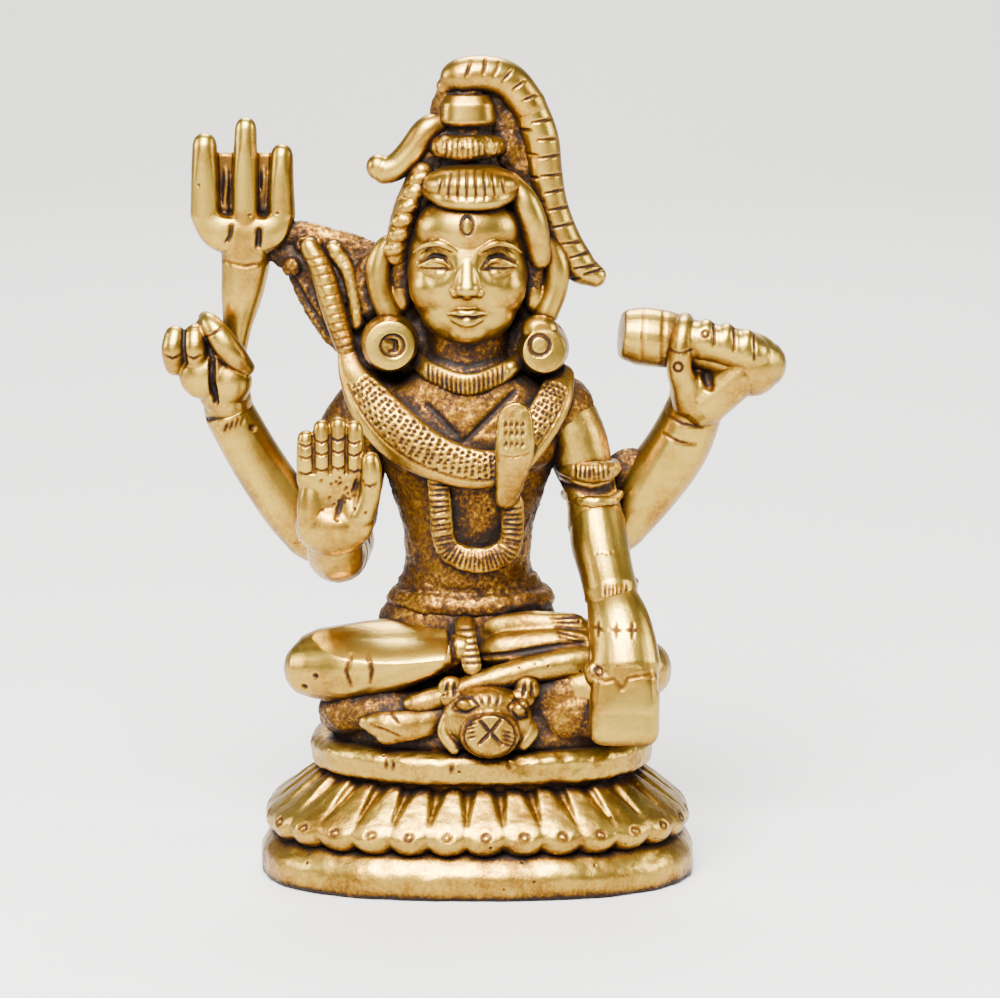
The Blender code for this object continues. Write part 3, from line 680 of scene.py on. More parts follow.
fingers = [(-16.55, 45.6), (-15.0, 46.65), (-13.4, 46.95), (-11.85, 46.6)]
palm = cast("front_right_hand_cast", [
    block(-14.0, -10.9, 39.6, 3.3, 1.5, 3.6, edge=1.2), ball(-14.0, -10.6, 36.8, 3.7, 2.5, 3.0),
    ball(-11.9, -11.5, 37.8, 1.9, 1.4, 2.6, lean=-14), ball(-16.0, -11.5, 38.4, 1.5, 1.2, 3.6),
    block(-14.2, -11.3, 43.6, 2.9, 0.8, 2.6, edge=0.7),
    roll([(-11.3, -11.8, 38.0, 1.4), (-10.4, -12.1, 40.4, 1.15), (-10.2, -12.3, 42.4, 1.05),
        (-10.3, -12.3, 43.5, 0.95)]),
    *[roll([(x, -11.4, 41.4, 0.95), (x, -11.7, 43.6, 0.95), (x, -11.7, top, 0.86)]) for x, top in fingers],
], grain=0.12, soften=4)
joints = [(x, z + up) for (x, top), up in zip(fingers, (-0.25, 0.1, 0.3, 0.0)) for z in (42.5, 44.1, 45.3)]
chase(palm, [[(x - 0.6, z + 0.12), (x, z - 0.1), (x + 0.6, z + 0.12)] for x, z in joints], 0.18, 0.15,
    taper=0.3)
chase(palm, [[(x, 42.3), (x, 44.0), (x, 46.0)] for x in (-15.8, -14.2, -12.6)], 0.16, 0.1, taper=0.3,
    dark=0.6)
press(palm, (-13.0, -12.4, 39.8), 3.0, 0.35)
chase(palm, [[(-12.9, 40.0), (-13.3, 39.0), (-13.6, 37.9)], [(-11.6, 41.6), (-11.9, 40.4)]], 0.3, 0.2)
pits = np.random.default_rng(2).normal((-13.0, 40.4), (1.1, 1.1), (26, 2))
chase(palm, [dot(x, z) for x, z in pits], 0.17, 0.1, taper=0, dark=0.8)
chase(palm, [[(-10.9, 41.4), (-10.3, 41.1), (-9.7, 41.5)]], 0.22, 0.14)
done(palm, "polished_brass", "front_right_hand")

# %% Back right arm, trident and fist
upper = cast("back_right_upper_arm_cast", [
    roll([(-9.6, 2.4, 48.4, 2.8), (-12.4, 2.8, 45.2, 2.9), (-14.6, 3.3, 40.0, 2.8), (-16.4, 3.6, 34.8, 2.9)]),
], soften=6)
roughen(upper, 1.8, 0.25)
done(upper, "aged_brass", "back_right_upper_arm")

lower = cast("back_right_forearm_cast", [
    roll([(-16.6, 3.4, 33.4, 2.8), (-19.2, 3.4, 36.4, 2.75), (-22.3, 3.2, 41.2, 2.65),
        (-24.9, 2.9, 46.0, 2.55)]),
], grain=0.17, soften=5)
file_flat(lower, (-22.0, 0.9, 41.0), (0.15, -1, 0), reach=9, hard=0.6)
chase(lower, [[(-27.2, 45.3), (-24.8, 46.0), (-22.1, 47.5)]], 0.3, 0.3, taper=0.1)
chase(lower, [[(-24.9 + k * 0.55, 45.2 + k * 0.22), (-25.2 + k * 0.55, 44.4 + k * 0.2)] for k in range(4)],
    0.15, 0.12)
chase(lower, [dot(-22.4, 44.7)], 0.45, 0.3, taper=0)
done(lower, "polished_brass", "back_right_forearm")

fork = [
    roll([(-24.7, 3.0, 51.4, 1.5), (-24.0, 2.9, 54.6, 1.5), (-23.5, 2.8, 57.6, 2.05), (-23.1, 2.8, 60.6, 2.4),
        (-23.0, 2.8, 63.0, 2.5)], flat=0.85),
    roll([(-23.0, 2.3, 63.4, 1.6), (-23.0, 2.2, 66.0, 1.35), (-23.0, 2.3, 70.0, 1.3),
        (-22.9, 2.6, 74.5, 1.1)]),
    roll([(-27.0, 2.3, 66.8, 1.25), (-26.6, 2.3, 65.2, 1.6), (-25.3, 2.3, 64.1, 1.95),
        (-23.0, 2.4, 63.9, 1.9), (-20.8, 2.3, 64.1, 1.9),
          (-19.7, 2.3, 65.2, 1.5), (-19.4, 2.3, 66.8, 1.1)]),
    roll([(-27.0, 2.3, 65.8, 1.5), (-27.0, 2.3, 69.6, 1.38), (-27.0, 2.6, 72.8, 1.25)]),
    roll([(-19.4, 2.3, 65.8, 1.4), (-19.4, 2.3, 69.2, 1.25), (-19.35, 2.6, 71.8, 1.15)]),
    block(-23.0, 3.4, 67.4, 3.8, 0.5, 4.6, edge=0.3),
    *[roll([(x, 3.0, 70.6, 0.2), (x + 0.1, 2.8, 69.2, 0.3), (x - 0.1, 2.8, 67.4, 0.3),
        (x, 2.8, 66.4, 0.4)]) for x in (-24.95, -21.2)],
]
trident = cast("trident_cast", fork, grain=0.16, soften=4)
file_flat(trident, (-23.0, 1.2, 66.0), (0, -1, 0.02), reach=12, hard=0.6)
chase(trident, [[(-24.3, 64.9), (-24.5, 63.9), (-24.8, 63.4)]], 0.26, 0.35, taper=0.3)
chase(trident, [[(-21.6, 64.5), (-21.7, 63.0)]], 0.36, 0.6, taper=0.2)
chase(trident, [[(-25.2, 61.4), (-23.0, 60.9), (-20.9, 61.3)]], 0.3, 0.14, dark=0.5)
chase(trident, [dot(-27.6, 69.0), dot(-22.5, 66.0), dot(-19.8, 66.2)], 0.2, 0.15, taper=0)
done(trident, "polished_brass", "trident")

fist = cast("back_right_hand_cast", [
    roll([(-24.8, 2.6, 46.8, 2.4), (-25.6, 2.2, 48.8, 2.6), (-26.4, 1.8, 50.6, 2.5)]),
    ball(-27.3, 0.8, 50.0, 2.4, 1.7, 2.4, lean=-24), ball(-24.6, 0.8, 49.4, 2.2, 1.7, 2.3, lean=-8),
    block(-28.6, 0.9, 52.6, 2.0, 0.9, 1.8, edge=0.6),
    roll([(-30.1, 0.8, 51.0, 1.05), (-30.2, 0.1, 52.6, 1.2), (-30.0, 0.5, 53.9, 1.15)]),
    roll([(-27.9, 0.5, 51.2, 1.1), (-28.0, -0.2, 52.8, 1.2), (-28.0, 0.3, 54.1, 1.15)]),
    roll([(-27.0, 1.4, 55.6, 0.8), (-26.4, 0.2, 55.1, 1.1), (-25.2, -0.5, 53.6, 1.3),
        (-23.9, -0.5, 52.0, 1.2), (-22.9, 0.0, 50.9, 0.85)]),
    ball(-26.7, 0.9, 54.4, 1.5, 1.2, 1.7),
], grain=0.12, soften=5)
chase(fist, [[(-26.3, 51.6), (-26.3, 49.4), (-26.0, 47.4)]], 0.4, 0.7, taper=0.2)
chase(fist, [[(-29.1, 54.9), (-29.1, 53.0), (-28.9, 51.4)], [(-26.9, 53.9), (-26.7, 52.8), (-26.2, 51.8)]],
    0.24, 0.2, taper=0.1)
chase(fist, [[(-30.9, 52.2), (-30.2, 51.9), (-29.4, 52.2)], [(-28.7, 52.2), (-28.1, 51.9), (-27.4, 52.2)],
    [(-26.9, 54.0), (-26.0, 54.6), (-25.3, 55.0)]], 0.2, 0.15)
done(fist, "polished_brass", "back_right_hand")

# %% Front left arm and hanging hand
upper = cast("front_left_upper_arm_cast", [
    roll([(9.0, 0.0, 45.6, 3.2), (10.2, -0.6, 43.0, 3.0), (11.4, -1.2, 38.2, 2.6), (11.9, -2.0, 35.4, 2.9)]),
], soften=6)
roughen(upper, 2.2, 0.14)
chase(upper, [[(8.6, 39.4), (11.4, 38.9), (14.2, 39.5)]], 0.55, 0.45, taper=0.1)
done(upper, "chased_brass", "front_left_upper_arm")

band = cast("armlet_cast", [
    roll([(8.4, 0.6, 41.0, 0.8), (9.2, -2.0, 41.0, 1.1), (11.3, -3.3, 40.9, 1.3), (13.2, -2.2, 41.0, 1.05),
        (13.6, 0.6, 41.0, 0.7)], flat=0.9, facing=(0, 0, 1)),
    roll([(8.8, 0.4, 38.1, 0.5), (9.7, -2.4, 38.0, 0.6), (11.6, -3.7, 37.9, 0.65), (13.4, -2.8, 38.0, 0.6),
        (14.2, 0.0, 38.1, 0.5)], facing=(0, 0, 1)),
], grain=0.14, soften=4)
roughen(band, 0.8, 0.2)
chase(band, [[(9.7 + k * 0.48, 41.7), (9.7 + k * 0.48, 40.4)] for k in range(8)], 0.16, 0.16)
done(band, "chased_brass", "armlet")

lower = cast("front_left_forearm_cast", [
    roll([(11.9, -2.0, 36.0, 2.7), (12.2, -3.4, 33.8, 2.9), (12.8, -5.6, 31.4, 2.7),
        (13.3, -7.4, 29.4, 2.7)]),
    roll([(10.8, -6.0, 30.7, 0.6), (13.2, -8.2, 30.4, 0.75), (15.5, -6.0, 30.3, 0.6)], facing=(0, 0, 1)),
    roll([(11.2, -7.2, 28.8, 0.6), (13.6, -9.3, 28.5, 0.75), (15.9, -7.2, 28.4, 0.6)], facing=(0, 0, 1)),
], grain=0.15, soften=6)
chase(lower, [[(12.6 + k * 0.42, 30.6), (12.55 + k * 0.42, 29.5)] for k in range(6)], 0.15, 0.12)
chase(lower, [dot(11.8 + k * 0.5, 33.4 + 0.1 * (k % 2)) for k in range(4)], 0.18, 0.12)
done(lower, "polished_brass", "front_left_forearm")

hang = cast("front_left_hand_cast", [
    roll([(13.2, -7.4, 29.3, 2.5), (13.9, -9.3, 27.3, 3.05), (14.4, -10.7, 25.0, 3.3),
        (14.6, -11.6, 22.9, 3.5)], flat=0.75),
    block(14.5, -12.6, 20.6, 3.3, 1.7, 2.6, nod=-12, edge=1.3),
    block(14.5, -12.6, 18.6, 3.45, 1.8, 3.3, lean=1, nod=-4, edge=1.4),
    ball(11.4, -12.2, 22.4, 0.9, 1.0, 1.3), ball(14.4, -12.4, 23.6, 2.9, 1.3, 1.0),
], grain=0.14, soften=12)
file_flat(hang, (14.5, -14.4, 18.6), (0, -1, 0.12), reach=5, hard=0.7)
chase(hang, [[(11.4, 22.4), (12.6, 22.0), (13.4, 22.2), (14.2, 21.3), (14.8, 22.3), (16.2, 22.6),
    (17.4, 22.5)]], 0.32, 0.13, taper=0.5, dark=0.45)
chase(hang, [[(11.9 + k * 1.7 - 0.55, 26.8), (11.9 + k * 1.7 + 0.55, 26.75)] for k in range(3)]
      + [[(11.9 + k * 1.7, 27.4), (11.85 + k * 1.7, 26.1)] for k in range(3)], 0.16, 0.12)
chase(hang, [ring(11.9, 22.9, 0.35)], 0.16, 0.1, taper=0)
done(hang, "polished_brass", "front_left_hand")

# %% Back left arm, drum and grip
upper = cast("back_left_upper_arm_cast", [
    roll([(9.4, 2.8, 42.6, 2.7), (12.2, 3.4, 37.4, 2.8), (14.4, 3.6, 34.8, 2.8)]),
    ball(15.4, 2.6, 38.4, 3.2, 1.2, 4.0),
], soften=6)
roughen(upper, 1.6, 0.25)
done(upper, "aged_brass", "back_left_upper_arm")

lower = cast("back_left_forearm_cast", [
    roll([(14.2, 3.3, 34.2, 2.8), (17.5, 3.2, 38.6, 3.2), (20.1, 2.9, 42.4, 3.2), (21.8, 2.4, 46.4, 2.9),
        (22.2, 2.0, 48.4, 2.8)]),
], grain=0.18, soften=6)
file_flat(lower, (20.0, 0.1, 42.5), (0.1, -1, -0.1), reach=7, hard=0.5)
chase(lower, [[(18.8, 46.0), (20.6, 45.2), (22.6, 44.9)], [(18.6, 44.2), (20.2, 43.4), (21.8, 43.1)]], 0.22,
    0.18)
done(lower, "polished_brass", "back_left_forearm")

drum = cast("damaru_drum_cast", [
    roll([(16.2, 1.0, 53.9, 2.95), (18.6, 1.0, 53.6, 2.9), (20.6, 1.0, 53.2, 2.6), (23.0, 1.0, 52.7, 2.5),
        (25.4, 1.0, 52.0, 2.8),
          (27.3, 1.0, 51.3, 3.0), (28.3, 1.0, 51.1, 2.6)]),
    ball(27.4, 0.6, 51.1, 3.0, 2.8, 3.2),
], grain=0.16, soften=6)
file_flat(drum, (14.3, 1.0, 53.9), (-1, -0.12, 0.12), reach=6, hard=0.9)
chase(drum, [[(16.6, 56.6), (16.4, 53.8), (16.3, 51.0)], [(18.6, 56.4), (18.4, 53.8), (18.3, 51.0)]], 0.3,
    0.1, taper=0.2, dark=0.3)
done(drum, "polished_brass", "damaru_drum")

grip = cast("back_left_hand_cast", [
    roll([(21.6, 2.5, 45.6, 2.5), (22.1, 2.1, 48.6, 2.7), (23.4, 1.8, 50.6, 2.4)]),
    roll([(21.4, 0.6, 47.4, 2.0), (20.6, -0.5, 49.4, 1.5), (20.1, -1.3, 51.0, 1.3), (20.2, -1.7, 53.0, 1.25),
        (20.5, -1.1, 54.8, 1.1), (20.7, 0.4, 55.5, 0.9)]),
    roll([(22.6, 0.6, 47.2, 2.4), (24.4, 0.2, 48.6, 2.2), (26.4, 0.0, 50.4, 2.2)]),
    ball(22.8, 1.2, 50.4, 2.2, 1.3, 2.2), ball(22.3, -0.1, 48.6, 1.9, 1.4, 1.9),
    roll([(21.8, -0.7, 53.8, 1.9), (24.4, -0.7, 53.2, 1.95), (27.0, -0.5, 52.3, 2.1),
        (27.8, -0.3, 51.8, 1.9)]),
    *[ball(x, -0.9, z, 1.3, 1.75, 2.1, lean=12) for x, z in ((22.5, 53.8), (24.5, 53.4), (26.5, 52.8))],
], grain=0.14, soften=5)
chase(grip, [[(22.7, 51.0), (22.8, 50.2), (23.1, 49.2)]], 0.6, 0.6, taper=0.3)
chase(grip, [[(x, z + 0.8), (x - 0.05, z - 1.4)] for x, z in ((23.5, 54.9), (25.5, 54.4), (27.5, 53.5))],
    0.18, 0.18, taper=0.2)
chase(grip, [ring(19.9, 51.3, 0.45), ring(22.6, 54.6, 0.35), [(19.1, 53.0), (20.0, 52.7), (21.2, 53.0)]],
    0.16, 0.1, taper=0)
done(grip, "polished_brass", "back_left_hand")

# %% [markdown]
# ## The head
#
# The face is calm and plain, set out on the usual thirds: the eyes halfway down the head, the base of the
# nose halfway from brow to chin, the mouth a third of the way below it.

# %% Face
FX = -0.9
form = [
    ball(FX, 0.2, 62.8, 6.4, 6.0, 6.6), ball(FX, -1.4, 60.6, 6.0, 5.4, 6.9),
    ball(FX, -2.8, 65.0, 5.2, 3.7, 3.6),
    ball(FX, -3.9, 55.4, 2.2, 2.1, 1.7), ball(FX, -2.2, 57.0, 4.8, 4.0, 3.4),
    ball(FX, -3.9, 57.3, 2.6, 2.5, 2.1),
]
for s in (-1, 1):
    form += [ball(FX + s * 2.7, -3.1, 59.3, 3.1, 2.9, 2.9), ball(FX + s * 1.8, -2.9, 57.9, 3.0, 2.8, 2.7)]
form = cast("face_form", form, grain=0.12, soften=28)
features = [
    form,
    roll([(FX, -4.7, 64.4, 0.9), (FX, -5.4, 62.8, 0.95), (FX, -6.1, 61.0, 1.1), (FX, -6.5, 59.8, 1.25)]),
    ball(FX, -6.8, 59.6, 1.25, 1.15, 1.0),
    roll([(FX - 1.8, -6.0, 57.0, 0.2), (FX - 0.8, -6.5, 57.2, 0.4), (FX, -6.65, 57.1, 0.42),
        (FX + 0.8, -6.5, 57.2, 0.4), (FX + 1.8, -6.0, 57.0, 0.2)]),
    roll([(FX - 1.4, -5.9, 56.6, 0.3), (FX, -6.4, 56.3, 0.6), (FX + 1.4, -5.9, 56.6, 0.3)]),
    ball(FX, -5.95, 65.8, 0.55, 0.5, 0.85),
]
for s in (-1, 1):
    press(form, (FX + s * 2.9, -6.0, 61.9), 2.3, 0.65)
    features += [
        ball(FX + s * 1.05, -6.3, 59.25, 0.7, 0.8, 0.6),
        ball(FX + s * 2.9, -4.75, 61.7, 1.75, 1.15, 0.95),
        roll([(FX + s * 1.35, -5.75, 61.5, 0.2), (FX + s * 2.2, -5.95, 62.2, 0.26),
            (FX + s * 3.3, -5.75, 62.3, 0.26), (FX + s * 4.8, -4.8, 61.6, 0.16)]),
        roll([(FX + s * 1.5, -5.7, 61.35, 0.14), (FX + s * 2.9, -5.75, 60.95, 0.18),
            (FX + s * 4.4, -4.9, 61.3, 0.12)]),
        roll([(FX + s * 1.2, -6.2, 63.3, 0.24), (FX + s * 2.8, -6.1, 64.0, 0.34),
            (FX + s * 4.4, -5.2, 63.6, 0.26), (FX + s * 5.3, -4.4, 62.9, 0.14)]),
    ]
head = cast("head_cast", features, grain=0.115, soften=6)
for s in (-1, 1):
    x = FX + s * 2.9
    chase(head, [[(x - s * 1.3, 61.5), (x - s * 0.2, 61.5), (x + s * 0.8, 61.5), (x + s * 1.6, 61.5)]], 0.17,
        0.14, taper=0.3)
    chase(head, [[(x - s * 1.6, 61.5), (x - s * 0.7, 62.6), (x + s * 0.4, 62.8), (x + s * 1.9, 62.0)]], 0.18,
        0.14, taper=0.4)
    chase(head, [[(FX + s * 0.4, 58.85), (FX + s * 0.8, 58.8)]], 0.24, 0.2)
chase(head, [[(FX - 1.7, 56.9), (FX - 0.6, 56.78), (FX, 56.9), (FX + 0.6, 56.78), (FX + 1.7, 56.9)]], 0.18,
    0.22, taper=0.2)
chase(head, [ring(FX, 65.8, 0.6, 0.95)], 0.18, 0.14, taper=0)
done(head, "polished_brass", "head")

# %% Ears and earrings
for side, s in (("right", -1), ("left", 1)):
    mid = FX + s * 7.5
    ear = cast(f"{side}_ear_cast", [
        ball(mid - s * 0.2, 0.2, 59.6, 2.2, 1.0, 3.9), ball(mid - s * 0.9, -0.7, 58.4, 1.1, 1.0, 2.0),
        roll([(mid - s * 1.2, 0.0, 63.0, 1.0), (mid + s * 0.3, -0.4, 63.0, 1.25),
            (mid + s * 1.2, -0.6, 61.2, 1.35), (mid + s * 1.1, -0.7, 58.8, 1.3),
              (mid + s * 0.2, -0.9, 56.4, 1.3)]),
    ], grain=0.13, soften=6)
    done(ear, "polished_brass", f"{side}_ear")

disc = cast("right_earring_cast", [
    roll([(-8.6, -2.9, 53.6, 2.75), (-8.6, -1.2, 53.6, 2.9)], facing=(0, 0, 1), sides=40, steps=2),
    ball(-8.6, 0.4, 53.8, 2.6, 2.0, 2.6),
], grain=0.13, soften=5)
file_flat(disc, (-8.6, -4.1, 53.6), (0.1, -1, 0.1))
press(disc, (-8.2, -4.2, 53.6), 1.5, 0.5)
chase(disc, [ring(-8.3, 53.7, 1.1, 1.0)], 0.24, 0.2, taper=0)
chase(disc, [[(-8.9, 54.3), (-8.0, 54.0), (-8.0, 53.2), (-8.5, 53.1)]], 0.3, 0.3, taper=0.3)
done(disc, "polished_brass", "right_earring")

disc = cast("left_earring_cast", [
    roll([(6.6, -2.9, 53.0, 2.4), (6.6, -1.2, 53.0, 2.6)], facing=(0, 0, 1), sides=40, steps=2),
    ball(6.2, -2.3, 55.0, 1.9, 1.5, 1.5),
    ball(6.6, 0.4, 53.2, 2.4, 2.0, 2.6),
], grain=0.13, soften=6)
file_flat(disc, (6.5, -3.9, 53.2), (0.1, -1, 0.15))
chase(disc, [ring(6.2, 53.7, 1.0, 1.0)], 0.26, 0.22, taper=0)
done(disc, "polished_brass", "left_earring")

# %% [markdown]
# ## Hair
#
# A fanned fringe, a banded bun, a long braid thrown over to the left, a crescent at the bun's side, and locks
# that run down past the ears.

# %% Fringe, bun and bands
fringe = cast("hair_fringe_cast", [
    ball(-0.5, -3.4, 69.5, 4.8, 3.5, 2.1),
    roll([(-5.0, -2.8, 68.9, 0.7), (-3.0, -5.4, 68.2, 0.8), (-0.5, -6.1, 68.0, 0.8), (2.0, -5.4, 68.2, 0.8),
        (4.0, -2.8, 68.9, 0.7)]),
], grain=0.1, soften=9)
chase(fringe, [[(-0.5 + k * 0.84, 71.2 - 0.07 * k * k), (-0.5 + k * 0.92,
    68.2 + 0.06 * k * k)] for k in (-3.5, -2.5, -1.5, -0.5, 0.5, 1.5, 2.5, 3.5)], 0.2, 0.13, taper=0.6)
done(fringe, "polished_brass", "hair_fringe")

bun = cast("hair_bun_cast", [
    roll([(-0.9, 0.8, 68.4, 4.6), (-1.0, 0.6, 71.4, 3.6), (-1.0, 0.4, 74.8, 2.9), (-1.0, 0.2, 78.4, 2.4)]),
    roll([(-3.4, -0.4, 72.6, 1.6), (-3.5, -0.4, 75.6, 1.3), (-2.6, -0.4, 78.8, 1.2)]),
    ball(-4.6, 0.2, 71.8, 2.6, 2.0, 2.8, lean=20),
], grain=0.17, soften=5)
roughen(bun, 0.9, 0.45)
done(bun, "aged_brass", "hair_bun")

backing = cast("hair_backing_cast", [
    ball(2.6, 0.7, 75.2, 3.2, 1.4, 4.4), ball(4.4, 0.7, 70.4, 2.6, 1.6, 5.4, lean=-8),
    ball(6.6, 1.0, 65.4, 2.0, 1.4, 4.4, lean=-8),
    ball(3.0, 0.2, 72.6, 2.0, 1.4, 2.4), ball(1.6, 0.2, 77.4, 1.8, 1.2, 1.8),
], grain=0.16, soften=5)
roughen(backing, 0.9, 0.5)
done(backing, "aged_brass", "hair_backing")

lower_band = cast("bun_band_lower_cast", [
    roll([(-4.3, -0.2, 73.1, 0.9), (-3.2, -2.6, 73.1, 1.1), (-1.0, -3.8, 73.0, 1.25), (1.2, -2.6, 73.1, 1.1),
        (2.3, -0.2, 73.1, 0.9)], facing=(0, 0, 1)),
    block(-1.0, -2.6, 73.3, 2.6, 1.2, 1.0, edge=0.5),
], grain=0.13, soften=4)
roughen(lower_band, 0.7, 0.25)
chase(lower_band, [[(-3.0 + k * 0.55, 73.9), (-3.0 + k * 0.55, 72.3)] for k in range(8)], 0.16, 0.14,
    dark=0.6)
done(lower_band, "chased_brass", "bun_band_lower")

upper_band = cast("bun_band_upper_cast", [
    ovals([(2.5, 2.7, 75.1), (2.9, 3.1, 75.6), (2.7, 2.9, 77.3), (2.2, 2.3, 78.2)], 2.8, (-0.9, -0.4)),
], grain=0.13, soften=5)
done(upper_band, "polished_brass", "bun_band_upper")

# %% Braid
crown = cast("hair_braid_crown_cast", [
    roll([(-3.0, -0.8, 78.9, 1.0), (-1.8, -1.0, 79.8, 1.8), (0.8, -0.9, 80.1, 1.85), (3.2, -0.5, 79.3, 1.9),
        (5.2, -0.1, 76.8, 1.85)]),
], grain=0.13, soften=5)
chase(crown, [[(x, z), (x + dx, z + dz)] for x, z, dx, dz in (
    (-0.6, 81.5, -0.4, -1.5), (0.9, 81.7, -0.2, -1.4), (2.2, 81.3, -0.5, -1.2), (3.5, 80.6, -1.0, -1.1),
    (4.7, 79.5, -1.2, -0.8), (5.8, 78.1, -1.3, -0.5))], 0.17, 0.2)
done(crown, "polished_brass", "hair_braid_crown")

tail_path = [(5.0, 0.0, 77.2, 1.8), (6.2, 0.2, 73.8, 1.9), (6.6, 0.4, 70.2, 1.9), (7.3, 0.6, 66.8, 1.8),
    (8.6, 0.9, 63.4, 1.8), (10.2, 1.2, 60.9, 1.7), (11.7, 1.3, 59.9, 1.2)]
tail = cast("hair_braid_tail_cast", [roll(tail_path)], grain=0.13, soften=4)
curve = flowing(tail_path)
lean = np.random.default_rng(4).uniform(-0.25, 0.25, (len(curve), 2))
chase(tail, [[(x - 0.4 + a, z - 0.1), (x + 1.6, z + 0.2 + b)] for (x, y, z, r),
    (a, b) in zip(curve[3:-2:3], lean)], 0.2, 0.22, taper=0.4)
chase(tail, [[(x - 1.5, z - 0.9), (x - 0.5 + a, z - 0.8 + b)] for (x, y, z, r),
    (a, b) in zip(curve[3:-2:4], lean)], 0.2, 0.15, taper=0.5)
done(tail, "polished_brass", "hair_braid_tail")

# %% Crescent and side locks
moon = cast("crescent_moon_cast", [
    roll([(-3.4, -1.0, 75.4, 1.1), (-4.9, -1.2, 74.6, 1.4), (-6.4, -1.3, 72.6, 1.4), (-7.7, -1.3, 71.2, 1.4),
        (-9.0, -1.3, 70.6, 1.35)]), ball(-9.7, -1.3, 71.0, 1.2, 1.2, 1.3),
], grain=0.14, soften=5)
done(moon, "polished_brass", "crescent_moon")

beads = [(-5.5, -2.2, 70.0), (-6.1, -2.5, 68.7), (-6.7, -2.6, 67.3), (-7.2, -2.5, 65.9), (-7.6, -2.3, 64.5),
    (-8.0, -1.9, 63.1)]
lock = cast("right_side_lock_cast", [ball(x, y, z, 1.3, 1.2, 0.95, lean=-20) for x, y, z in beads]
            + [roll([(-5.4, -1.6, 70.4, 1.3), (-7.0, -1.8, 66.4, 1.4), (-7.9, -1.4, 62.4, 1.2)])], grain=0.13,
            soften=5)
roughen(lock, 0.8, 0.2)
done(lock, "chased_brass", "right_side_lock")

lock = cast("left_side_lock_cast", [roll([(3.4, -2.6, 69.8, 0.9), (4.7, -2.9, 67.8, 1.35),
    (5.6, -2.7, 65.3, 1.45), (6.2, -2.0, 62.2, 1.2)])], grain=0.14, soften=5)
done(lock, "polished_brass", "left_side_lock")

# %% Back of the head and flowing hair
cap = cast("hair_cap_cast", [
    ball(FX, 2.4, 62.4, 7.3, 5.4, 7.6), ball(FX, 1.6, 67.2, 5.4, 4.6, 3.6),
    ball(FX, 3.4, 55.6, 6.0, 3.2, 4.6),
    ball(-8.4, 1.6, 61.4, 1.6, 1.6, 2.6), ball(6.6, 1.8, 66.0, 1.6, 2.0, 4.2, lean=10),
    ball(-6.2, 1.4, 52.6, 3.2, 2.2, 3.8, lean=20), ball(4.6, 1.4, 52.2, 3.2, 2.2, 3.8, lean=-20),
    ball(-7.4, 1.0, 56.4, 1.8, 1.4, 2.6), ball(5.7, 1.0, 56.4, 1.8, 1.4, 2.6),
    ball(-9.8, 1.2, 52.2, 2.0, 1.4, 2.2),
    roll([(-7.6, -0.4, 57.4, 1.0), (-7.5, -0.8, 61.0, 1.1), (-7.0, -1.0, 64.6, 1.2),
        (-5.4, -1.6, 68.0, 1.2)]),
    roll([(5.8, -0.4, 57.4, 1.0), (5.7, -0.8, 61.0, 1.1), (5.2, -1.0, 64.6, 1.2), (3.8, -1.6, 68.0, 1.2)]),
], grain=0.22, soften=5)
roughen(cap, 0.9, 0.4)
spots, ways = spots_of(cap)
wave = np.cos(np.arctan2(spots[:, 0] - FX, spots[:, 1] + 2.0) * 26) * (ways[:, 1] > 0) * np.clip(ways[:,
    1] * 2, 0, 1)
put_spots(cap, spots + ways * (wave * 0.16)[:, None])
done(cap, "aged_brass", "hair_cap")

web = cast("flowing_hair_cast", [
    roll([(-20.2, 2.8, 64.0, 1.2), (-17.6, 2.6, 64.0, 1.3), (-15.0, 2.4, 63.2, 1.5), (-11.6, 2.2, 62.0, 1.7),
        (-8.8, 1.8, 60.4, 1.8)], flat=0.7),
    roll([(-20.6, 2.9, 62.2, 1.0), (-18.4, 2.6, 61.6, 1.5), (-15.6, 2.2, 60.8, 2.3), (-12.4, 1.8, 59.2, 2.8)],
        flat=0.5),
    roll([(-18.0, 2.6, 60.6, 1.1), (-16.6, 2.4, 57.8, 1.3), (-14.6, 2.2, 54.9, 1.5), (-12.6, 1.8, 52.8, 1.5)],
        flat=0.7),
    roll([(-12.4, 2.4, 60.6, 2.6), (-11.4, 2.2, 56.8, 2.6), (-11.4, 1.8, 53.4, 2.0)], flat=0.5),
    roll([(-9.4, 1.0, 62.0, 0.9), (-11.0, 0.8, 60.6, 1.0), (-11.4, 0.6, 58.6, 1.0), (-10.6, 0.4, 56.6, 1.0)]),
    ball(-18.4, 1.6, 60.8, 1.0, 0.8, 1.0), ball(-16.6, 1.8, 63.0, 1.6, 0.9, 1.0),
], grain=0.16, soften=4)
roughen(web, 0.8, 0.4)
chase(web, [dot(-16.8, 63.3), [(-17.4, 63.2), (-16.2, 63.5)]], 0.4, 0.6, taper=0)
chase(web, [[(-15.4, 62.4), (-13.6, 60.8), (-12.6, 58.4)], [(-18.4, 59.8), (-16.8, 57.0), (-14.8, 54.2)]],
    0.35, 0.35)
done(web, "aged_brass", "flowing_hair")

strand_path = [(-16.6, 1.2, 62.8, 1.0), (-15.4, 0.8, 60.6, 1.2), (-14.5, 0.4, 57.6, 1.25),
    (-13.7, 0.0, 55.0, 1.15), (-12.9, -0.6, 52.8, 1.05)]
strand = cast("hair_strand_outer_cast", [roll(strand_path)], grain=0.12, soften=4)
curve = flowing(strand_path)
chase(strand, [[(x - 0.9, z - 0.1), (x + 0.9, z + 0.25)] for x, y, z, r in curve[3::2]], 0.18, 0.09, dark=0.5)
done(strand, "chased_brass", "hair_strand_outer")

